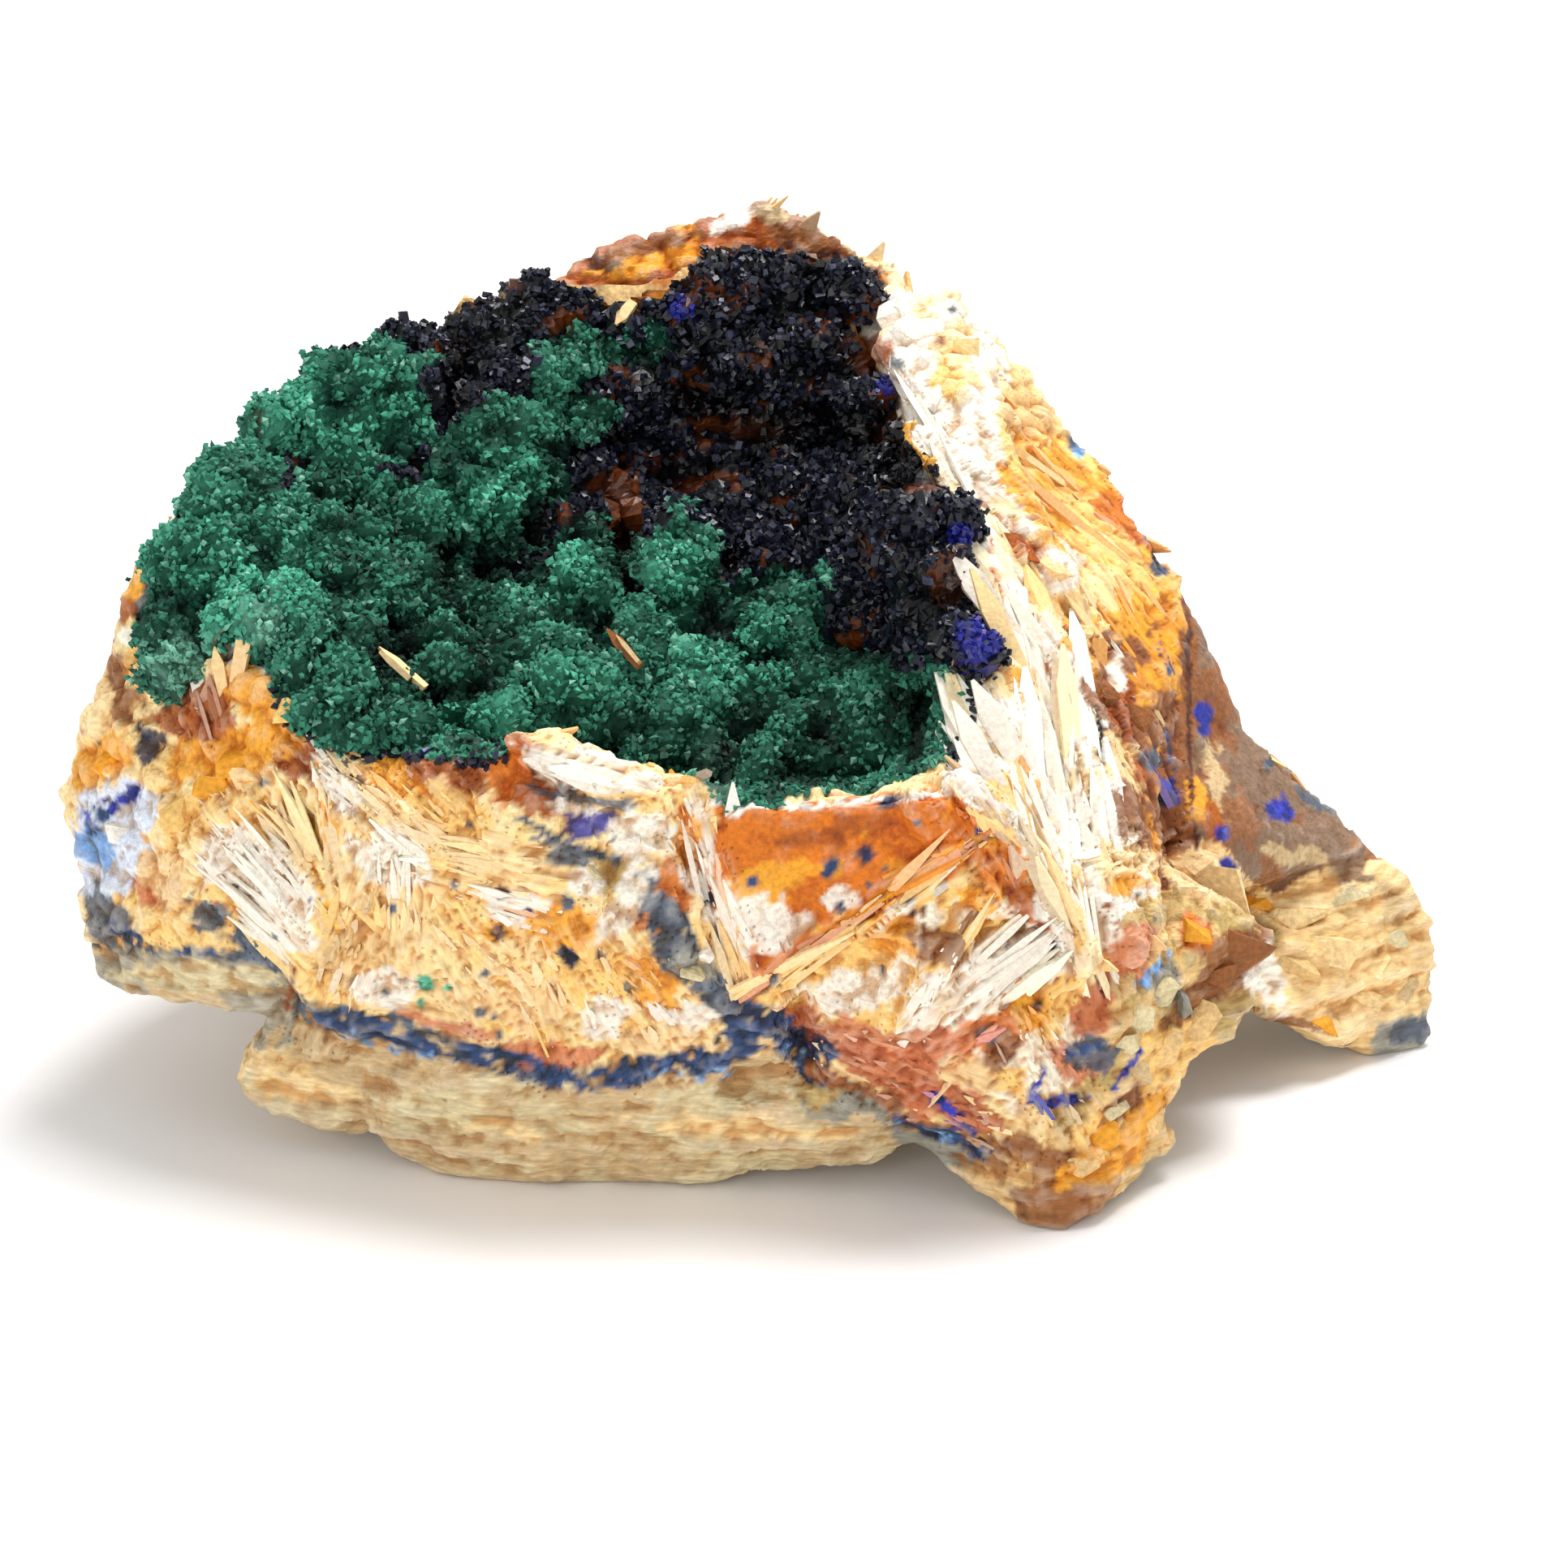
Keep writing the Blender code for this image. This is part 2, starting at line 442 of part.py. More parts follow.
def fill_lumps(outline):
    """Small lumps on a jittered grid that cover an outline: right, up and radius, in mm."""
    chance = random.Random(FILL_SEED)
    xs, ups = [x for x, _ in outline], [up for _, up in outline]
    lumps = []
    for row in range(int((max(ups) - min(ups)) / FILL_SPACING) + 1):
        for column in range(int((max(xs) - min(xs)) / FILL_SPACING) + 2):
            x = min(xs) + (column + 0.5 * (row % 2) + chance.uniform(-0.3, 0.3)) * FILL_SPACING
            up = min(ups) + (row + chance.uniform(-0.3, 0.3)) * FILL_SPACING
            radius = chance.uniform(*FILL_RADIUS)
            if inside(outline, x, up):
                lumps.append((x, up, radius))
    return lumps


def add_crevice(bm, tree, start, end, width, depth):
    """A wedge that cuts a crevice between two places of the photograph."""
    (a, normal_a), (b, normal_b) = on_surface(tree, *start), on_surface(tree, *end)
    out = (normal_a + normal_b).normalized()
    across = out.cross((b - a).normalized()).normalized()
    corners = []
    for place in (a, b):
        corners.append(place - out * depth * MM)
        corners += [place + out * MM + across * side * width * MM for side in (-0.75, 0.75)]
    add_hull(bm, corners)


def add_blade(bm, tree, start, end, width, thickness, rise=0.25, overshoot=0.0):
    """A long tapering slab that lies on the surface between two places of the photograph: rise is
    the share of its thickness above the surface, overshoot how far it reaches past its start."""
    (a, normal_a), (b, normal_b) = on_surface(tree, *start), on_surface(tree, *end)
    if a is None or b is None:
        return
    out = (normal_a + normal_b).normalized()
    along = (b - a).normalized()
    a = a - along * overshoot * MM
    across = out.cross(along).normalized()
    half, deep = width * MM / 2, thickness * MM
    corners = []
    for share, wide in BLADE_TAPER:
        centre = a.lerp(b, share)
        for side in (-1, 1):
            for level in (rise - 1, rise):
                corners.append(centre + across * side * half * wide + out * deep * level)
    add_hull(bm, corners)


def build_rock_body(helpers):
    """The fused chunks with the hollow cut into them."""
    bm = bmesh.new()
    for points in CHUNKS.values():
        add_hull(bm, points)
    rock = new_object("matrix", mesh_from("matrix", bm), helpers)
    fuse(rock, ROCK_VOXEL)

    centre = sum((place for place, _ in HOLLOW_RIM), Vector()) / len(HOLLOW_RIM)
    bm = bmesh.new()
    corners = []
    for place, depth in HOLLOW_RIM:
        corners.append(place)
        corners.append(place + HOLLOW_OUT * HOLLOW_MOUTH)
        corners.append(centre.lerp(place, HOLLOW_FLOOR_SHARE) - HOLLOW_OUT * depth * MM)
    add_hull(bm, corners)
    cutter = new_object("hollow_cutter", mesh_from("hollow_cutter", bm), helpers)
    cutter.hide_render = True
    cutter.display_type = "WIRE"
    combine(rock, cutter, "DIFFERENCE")
    return rock


def add_blades(rock):
    """Fuses the rim's blades and the fans of the front wall onto the rock."""
    tree = surface_of(rock)
    bm = bmesh.new()
    bm.from_mesh(rock.data)
    for start, end, width, thickness in RIM_BLADES:
        add_blade(bm, tree, start, end, width, thickness, rise=0.85, overshoot=1.0)
    for (x, up), reach, first, last, count in FANS:
        for i in range(count):
            bearing = math.radians(first + (last - first) * i / (count - 1))
            length = reach * (0.8 + 0.2 * math.cos(5 * i))
            end = (x + length * math.cos(bearing), up + length * math.sin(bearing))
            add_blade(bm, tree, (x, up), end, *FAN_BLADE, rise=0.45 + 0.25 * (i % 2))
    bm.to_mesh(rock.data)
    bm.free()
    fuse(rock, ROCK_VOXEL)


def cut_crevices(rock, helpers):
    tree = surface_of(rock)
    for i, crevice in enumerate(CREVICES):
        bm = bmesh.new()
        add_crevice(bm, tree, *crevice)
        name = f"crevice_cutter_{i + 1}"
        cutter = new_object(name, mesh_from(name, bm), helpers)
        cutter.hide_render = True
        cutter.display_type = "WIRE"
        combine(rock, cutter, "DIFFERENCE")


def level_feet(rock, helpers):
    """Cuts the rock's feet level with the ground."""
    bm = bmesh.new()
    bmesh.ops.create_cube(bm, size=1, matrix=Matrix.Diagonal((0.2, 0.2, 0.02, 1)))
    bmesh.ops.translate(bm, verts=bm.verts, vec=(0, 0, -0.01))
    ground = new_object("ground_cutter", mesh_from("ground_cutter", bm), helpers)
    ground.hide_render = True
    ground.display_type = "WIRE"
    combine(rock, ground, "DIFFERENCE")


def build_crust(name, lumps, tree, helpers, triangles, layers):
    """Lumps where the photograph shows them on the rock, fused into one crust."""
    bm = bmesh.new()
    for right, up, radius, *height in lumps:
        stands = height[0] if height else 0
        place, normal = on_surface(tree, right, up - stands * HOLLOW_OUT.dot(VIEW_UP))
        if place is None:
            continue
        out = (normal + HOLLOW_OUT).normalized()
        centre = place + out * radius * MM * (1 - 2 * LUMP_SINK) + HOLLOW_OUT * stands * MM
        bmesh.ops.create_icosphere(
            bm, subdivisions=2, radius=radius * MM, matrix=Matrix.Translation(centre)
        )
    crust = new_object(name, mesh_from(name, bm), helpers)
    fuse(crust, CRUST_VOXEL)
    roughen(crust, layers)
    thin_out(crust, triangles)
    return crust


def centre_on_origin(things):
    """Moves everything so that the origin is at the bottom centre of the box."""
    corners = np.array([v.co for thing in things for v in thing.data.vertices])
    low, high = corners.min(axis=0), corners.max(axis=0)
    shift = -Vector(((low[0] + high[0]) / 2, (low[1] + high[1]) / 2, low[2]))
    print("box", (low / MM).round(2), (high / MM).round(2), "shift", [round(s / MM, 2) for s in shift])
    for thing in things:
        thing.data.transform(Matrix.Translation(shift))


def main():
    clear_scene()
    specimen = bpy.data.collections.new("azurite_and_malachite_specimen")
    helpers = bpy.data.collections.new("cutters")
    helpers.hide_render = True
    bpy.context.scene.collection.children.link(specimen)
    bpy.context.scene.collection.children.link(helpers)

    rock = build_rock_body(helpers)
    cut_crevices(rock, helpers)
    add_blades(rock)
    roughen(rock, ROCK_ROUGHNESS)
    thin_out(rock, ROCK_TRIANGLES)
    level_feet(rock, helpers)
    keep_largest_body(rock)

    tree = surface_of(rock)
    clearance = inflated_copy(rock, CONTACT_GAP, ROCK_CLEARANCE_TRIANGLES, helpers)
    malachite = build_crust(
        "malachite_crust", MALACHITE_LUMPS + MALACHITE_KNOBS + fill_lumps(MALACHITE_OUTLINE),
        tree, helpers, MALACHITE_TRIANGLES, [(0.45 * MM, 2.2 * MM)],
    )
    azurite = build_crust(
        "azurite_crust", AZURITE_LUMPS + fill_lumps(AZURITE_OUTLINE),
        tree, helpers, AZURITE_TRIANGLES, [(0.35 * MM, 1.8 * MM)],
    )
    malachite_clearance = inflated_copy(
        malachite, CONTACT_GAP, MALACHITE_CLEARANCE_TRIANGLES, helpers
    )
    combine(malachite, clearance, "DIFFERENCE")
    combine(azurite, malachite_clearance, "DIFFERENCE")
    combine(azurite, clearance, "DIFFERENCE")

    looks = {
        rock: ((0.78, 0.62, 0.40), 0.75),
        malachite: ((0.05, 0.33, 0.20), 0.6),
        azurite: ((0.03, 0.04, 0.12), 0.35),
    }
    for thing, (colour, roughness) in looks.items():
        bodies = keep_largest_body(thing)
        thing.data.calc_loop_triangles()
        print(thing.name, "bodies", bodies, "triangles", len(thing.data.loop_triangles))
        helpers.objects.unlink(thing)
        specimen.objects.link(thing)
        thing.data.materials.clear()
        thing.data.materials.append(make_material(thing.name, colour, roughness))
    centre_on_origin(list(looks))


main()
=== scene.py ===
"""Azurite and malachite on a broken piece of baryte and quartz rock, dressed over its solids.

The rock and the two crusts are worked finer from the solids' own meshes: the rock gets books of
baryte blades, layers, lumps and grain, the crusts get rounded heads and thousands of small crystals.
Colours are painted on the points at named places of the photograph, which are given in its pixels.
"""

import itertools
import math

import bmesh
import bpy
import numpy as np
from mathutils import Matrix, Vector
from mathutils.bvhtree import BVHTree


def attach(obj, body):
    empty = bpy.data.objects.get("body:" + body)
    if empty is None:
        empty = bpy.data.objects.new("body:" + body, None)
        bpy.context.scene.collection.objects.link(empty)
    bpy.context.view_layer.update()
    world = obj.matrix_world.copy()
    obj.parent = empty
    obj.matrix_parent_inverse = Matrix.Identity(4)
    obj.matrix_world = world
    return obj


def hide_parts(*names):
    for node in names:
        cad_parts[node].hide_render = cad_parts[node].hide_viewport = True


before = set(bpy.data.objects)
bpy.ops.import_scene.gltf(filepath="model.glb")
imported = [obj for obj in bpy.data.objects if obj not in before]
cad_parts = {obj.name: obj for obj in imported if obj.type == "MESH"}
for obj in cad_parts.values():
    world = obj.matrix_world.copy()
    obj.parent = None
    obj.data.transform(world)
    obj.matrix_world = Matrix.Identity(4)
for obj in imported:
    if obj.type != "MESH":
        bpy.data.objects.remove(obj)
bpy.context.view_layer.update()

MM = 0.001

# The photograph's viewpoint, in mm
VIEW_ELEVATION = math.radians(22)
VIEW_DISTANCE = 420.0
VIEW_WIDTH = 96.6
VIEW_CENTRE_UP = 27.7
VIEW_UP = np.array([0, math.sin(VIEW_ELEVATION), math.cos(VIEW_ELEVATION)])
VIEW_AHEAD = np.array([0, math.cos(VIEW_ELEVATION), -math.sin(VIEW_ELEVATION)])
FRONT_MIDDLE = np.array([1.6, -30.26, 0])
VIEW_CENTRE = FRONT_MIDDLE + VIEW_UP * VIEW_CENTRE_UP
EYE = VIEW_CENTRE - VIEW_AHEAD * VIEW_DISTANCE
PIXELS_PER_MM = 20.0
PICTURE_MIDDLE, PICTURE_FOOT = 966.0, 1520.0

BRIGHTEST = 0.93  # the most light that a painted colour gives back
ROCK_VOXEL, BED_VOXEL = 0.33, 0.36  # mm, the fineness of the rock's and the crust beds' meshes
ROCK_SMOOTHING, BED_SMOOTHING = 8, 2  # rounds that take the solids' facets away
HOLLOW_ROUNDS = 6  # how wide around a point its surroundings are taken
ROCK_BANDS = 3
HIDDEN_BLADES = 2600
GRAIN_COUNT, CRYSTAL_COUNT = 15500, 14500  # grains in each of two pieces, crystals in one
SWAY_OCTAVES = 2
NEIGHBOURS = list(itertools.product((-1, 0, 1), repeat=3))
FAR = 9.0  # farther than any centre in the neighbouring cells, in cells

chance = np.random.default_rng(5)


# Noise

def lattice(ix, iy, iz, seed):
    """A random number from 0 to 1 for each whole-number place."""
    h = (ix * 73856093) ^ (iy * 19349663) ^ (iz * 83492791) ^ (seed * 83492917)
    h = h & 0xFFFFFFFF
    for _ in range(2):
        h = ((h ^ (h >> 16)) * 0x45D9F3B) & 0xFFFFFFFF
    return (h ^ (h >> 16)) / 0xFFFFFFFF


def smooth_noise(points, seed):
    """Noise from -1 to 1 that changes smoothly between whole-number places."""
    cell = np.floor(points).astype(np.int64)
    part = points - cell
    part = part * part * (3 - 2 * part)
    total = np.zeros(len(points))
    for corner in itertools.product((0, 1), repeat=3):
        weight = 1.0
        for axis, step in enumerate(corner):
            weight = weight * (part[:, axis] if step else 1 - part[:, axis])
        total += weight * lattice(*(cell + corner).T, seed)
    return total * 2 - 1


def fractal(points, size, octaves=3, seed=0):
    """Fractal noise from about -1 to 1, for places in mm and a largest size in mm."""
    total, height = np.zeros(len(points)), 1.0
    for i in range(octaves):
        total += height * smooth_noise(points / size * 2 ** i + 11.7 * i, seed + i)
        height *= 0.5
    return total / 1.4


def cells(points, seed):
    """Distances to the nearest and the next scattered centre, and the nearest one's number."""
    base = np.floor(points).astype(np.int64)
    first, second = np.full(len(points), FAR), np.full(len(points), FAR)
    number = np.zeros(len(points))
    for step in NEIGHBOURS:
        cell = (base + step).T
        gap = np.sqrt(sum((cell[i] + lattice(*cell, seed + i) - points[:, i]) ** 2 for i in range(3)))
        nearer = gap < first
        second = np.where(nearer, first, np.minimum(second, gap))
        number = np.where(nearer, lattice(*cell, seed + 3), number)
        first = np.minimum(first, gap)
    return first, second, number


def facets(points, size, seed):
    """Heights of broken faces that tilt at random, from about -0.5 to 0.5 of their size."""
    scaled = points / size
    base = np.floor(scaled).astype(np.int64)
    first, second = np.full(len(points), FAR), np.full(len(points), FAR)
    height, next_height = np.zeros(len(points)), np.zeros(len(points))
    for step in NEIGHBOURS:
        cell = (base + step).T
        offset = [scaled[:, i] - cell[i] - lattice(*cell, seed + i) for i in range(3)]
        gap = np.sqrt(sum(part ** 2 for part in offset))
        tilt = sum(offset[i] * (lattice(*cell, seed + 3 + i) - 0.5) for i in range(3))
        tilt = tilt + 0.25 * (lattice(*cell, seed + 6) - 0.5)
        nearer = gap < first
        next_height = np.where(nearer, height, np.where(gap < second, tilt, next_height))
        second = np.where(nearer, first, np.minimum(second, gap))
        height = np.where(nearer, tilt, height)
        first = np.minimum(first, gap)
    blend = 0.5 * smoothstep(0.22, 0.0, second - first)
    return (height * (1 - blend) + next_height * blend) * size


def smoothstep(low, high, value):
    """0 at low and 1 at high, with soft ends; high may be the lesser."""
    share = np.clip((value - low) / (high - low), 0, 1)
    return share * share * (3 - 2 * share)


def swayed(places, points, amount, size, seeds):
    """Places shifted by noise: one seed for each of their axes, amount in the places' own units."""
    return places + amount * np.stack([fractal(points, size, SWAY_OCTAVES, seed) for seed in seeds], axis=1)


# Places in the photograph

def to_picture(points):
    """Pixels of the photograph and depth behind its middle, for places in mm."""
    relative = points - VIEW_CENTRE
    depth = relative @ VIEW_AHEAD
    spread = 1 + depth / VIEW_DISTANCE
    u = PICTURE_MIDDLE + PIXELS_PER_MM * relative[:, 0] / spread
    up = VIEW_CENTRE_UP + relative @ VIEW_UP / spread
    return np.stack([u, PICTURE_FOOT - PIXELS_PER_MM * up], axis=1), depth


def sight(u, v):
    """Direction of sight from the eye through a pixel."""
    right = (u - PICTURE_MIDDLE) / PIXELS_PER_MM
    up = (PICTURE_FOOT - v) / PIXELS_PER_MM
    aim = FRONT_MIDDLE + np.array([right, 0, 0]) + VIEW_UP * up
    return Vector(aim - EYE).normalized()


def cast(tree, u, v):
    """Where the line of sight through a pixel meets a surface, and the normal there."""
    place, normal, _, _ = tree.ray_cast(Vector(EYE), sight(u, v))
    return place, normal


def line_share(uv, a, b):
    """Distance to a line between two pixels, and how far along it each place is."""
    a, b = np.array(a, float), np.array(b, float)
    along = b - a
    share = np.clip((uv - a) @ along / (along @ along), 0, 1)
    return np.linalg.norm(uv - a - share[:, None] * along, axis=1), share


def at_depth(u, v, depth):
    """The place behind a pixel at a depth behind the view's middle."""
    way = np.array(sight(u, v))
    return EYE + way * (VIEW_DISTANCE + depth) / (way @ VIEW_AHEAD)


def inside(uv, corners):
    """Whether each place lies inside an outline of pixels."""
    within = np.zeros(len(uv), bool)
    for (ax, ay), (bx, by) in zip(corners, corners[1:] + corners[:1]):
        crosses = (ay > uv[:, 1]) != (by > uv[:, 1])
        edge = ax + (uv[:, 1] - ay) * (bx - ax) / ((by - ay) or 1)
        within ^= crosses & (uv[:, 0] < edge)
    return within


def oval_share(uv, ovals, outer, inner):
    """How far inside one of some upright ovals each place lies: 0 from outer and 1 from inner, in
    shares of the oval. An oval has its middle, half width and half height in pixels."""
    share = np.zeros(len(uv))
    for u, v, wide, high in ovals:
        reach = np.hypot((uv[:, 0] - u) / wide, (uv[:, 1] - v) / high)
        share = np.maximum(share, smoothstep(outer, inner, reach))
    return share


# Colours, as the photograph shows them

SEEN_COLOURS = {
    "white": (247, 240, 228), "cream": (246, 216, 165), "pale": (240, 208, 160),
    "sand": (226, 192, 140), "tan": (204, 178, 138), "golden": (232, 166, 78),
    "amber": (243, 202, 134), "orange": (204, 116, 36), "rust": (162, 86, 34),
    "rust_dark": (84, 42, 20), "brown": (142, 90, 54), "taupe": (132, 106, 86),
    "pink": (204, 132, 98), "terracotta": (186, 108, 74), "slate": (84, 92, 104),
    "blue": (46, 66, 104), "royal": (42, 50, 146), "sky": (120, 160, 210),
    "navy": (28, 34, 62), "grey": (142, 142, 132), "quartz": (216, 202, 164),
    "green_grey": (190, 164, 112), "dark": (46, 38, 34), "teal": (96, 178, 150),
    "ice": (216, 226, 242),
}


def linear(colour):
    """A screen colour as linear light."""
    share = np.array(colour, float) / 255
    return np.where(share <= 0.04045, share / 12.92, ((share + 0.055) / 1.055) ** 2.4)


def vivid(colour):
    """Deeper than seen, as the studio light washes a colour out."""
    grey = colour @ np.array([0.2126, 0.7152, 0.0722])
    return np.clip(grey + (colour - grey) * 1.15, 0.003, 0.95) * 0.98


COLOURS = {name: vivid(linear(colour)) for name, colour in SEEN_COLOURS.items()}

# Large areas of the rock: colour, second colour that it is blotched with, corners in pixels
AREAS = [
    ("rust", "golden", [
        (600, 480), (640, 380), (680, 290), (760, 280), (860, 265), (938, 225), (1010, 280), (1100, 345),
        (1070, 440), (900, 480),
    ]),
    ("white", "cream", [
        (1050, 400), (1090, 335), (1180, 320), (1250, 420), (1262, 560), (1250, 640), (1150, 580),
        (1100, 480),
    ]),
    ("sand", "cream", [(1222, 400), (1300, 470), (1325, 540), (1262, 556), (1236, 500)]),
    ("amber", "golden", [
        (1236, 520), (1320, 520), (1450, 650), (1475, 760), (1450, 830), (1380, 850), (1320, 790),
        (1262, 660),
    ]),
    ("white", "cream", [
        (1100, 480), (1150, 560), (1262, 620), (1330, 760), (1352, 860), (1400, 960), (1425, 1130),
        (1350, 1215), (1290, 1150), (1200, 1010), (1160, 990), (1180, 850), (1240, 850), (1210, 730),
        (1150, 640),
    ]),
    ("brown", "golden", [
        (1335, 800), (1440, 720), (1475, 800), (1480, 1060), (1440, 1130), (1405, 1000), (1352, 880),
    ]),
    ("taupe", "brown", [
        (1440, 640), (1520, 740), (1540, 860), (1620, 950), (1730, 1050), (1650, 1100), (1550, 1105),
        (1478, 1050), (1470, 800),
    ]),
    ("sand", "cream", [
        (1560, 1100), (1680, 1060), (1760, 1040), (1800, 1100), (1800, 1340), (1690, 1330), (1560, 1275),
        (1540, 1200),
    ]),
    ("pale", "amber", [(1430, 1050), (1500, 1040), (1560, 1110), (1560, 1210), (1480, 1180)]),
    ("green_grey", "sand", [
        (1380, 1130), (1470, 1080), (1580, 1150), (1560, 1300), (1460, 1440), (1360, 1520), (1290, 1420),
    ]),
    ("amber", "white", [
        (830, 980), (900, 1000), (1170, 990), (1240, 1000), (1330, 1190), (1340, 1340), (1260, 1380),
        (1050, 1260), (930, 1230), (850, 1060),
    ]),
    ("orange", "golden", [
        (880, 985), (1175, 975), (1240, 1030), (1130, 1105), (1000, 1160), (940, 1200), (905, 1120),
        (880, 1060),
    ]),
    ("cream", "amber", [
        (400, 900), (520, 900), (640, 930), (840, 1000), (930, 1220), (860, 1320), (700, 1320), (380, 1250),
        (360, 1100),
    ]),
    ("cream", "amber", [(60, 900), (240, 900), (420, 900), (420, 1170), (330, 1200), (100, 1160)]),
    ("tan", "quartz", [
        (250, 1380), (360, 1240), (700, 1310), (980, 1300), (1120, 1370), (1260, 1440), (1300, 1560),
        (600, 1500),
    ]),
    ("tan", "grey", [(90, 1160), (340, 1180), (400, 1260), (330, 1300), (90, 1240)]),
    ("sand", "brown", [(1180, 1400), (1300, 1420), (1380, 1440), (1340, 1560), (1200, 1500)]),
]

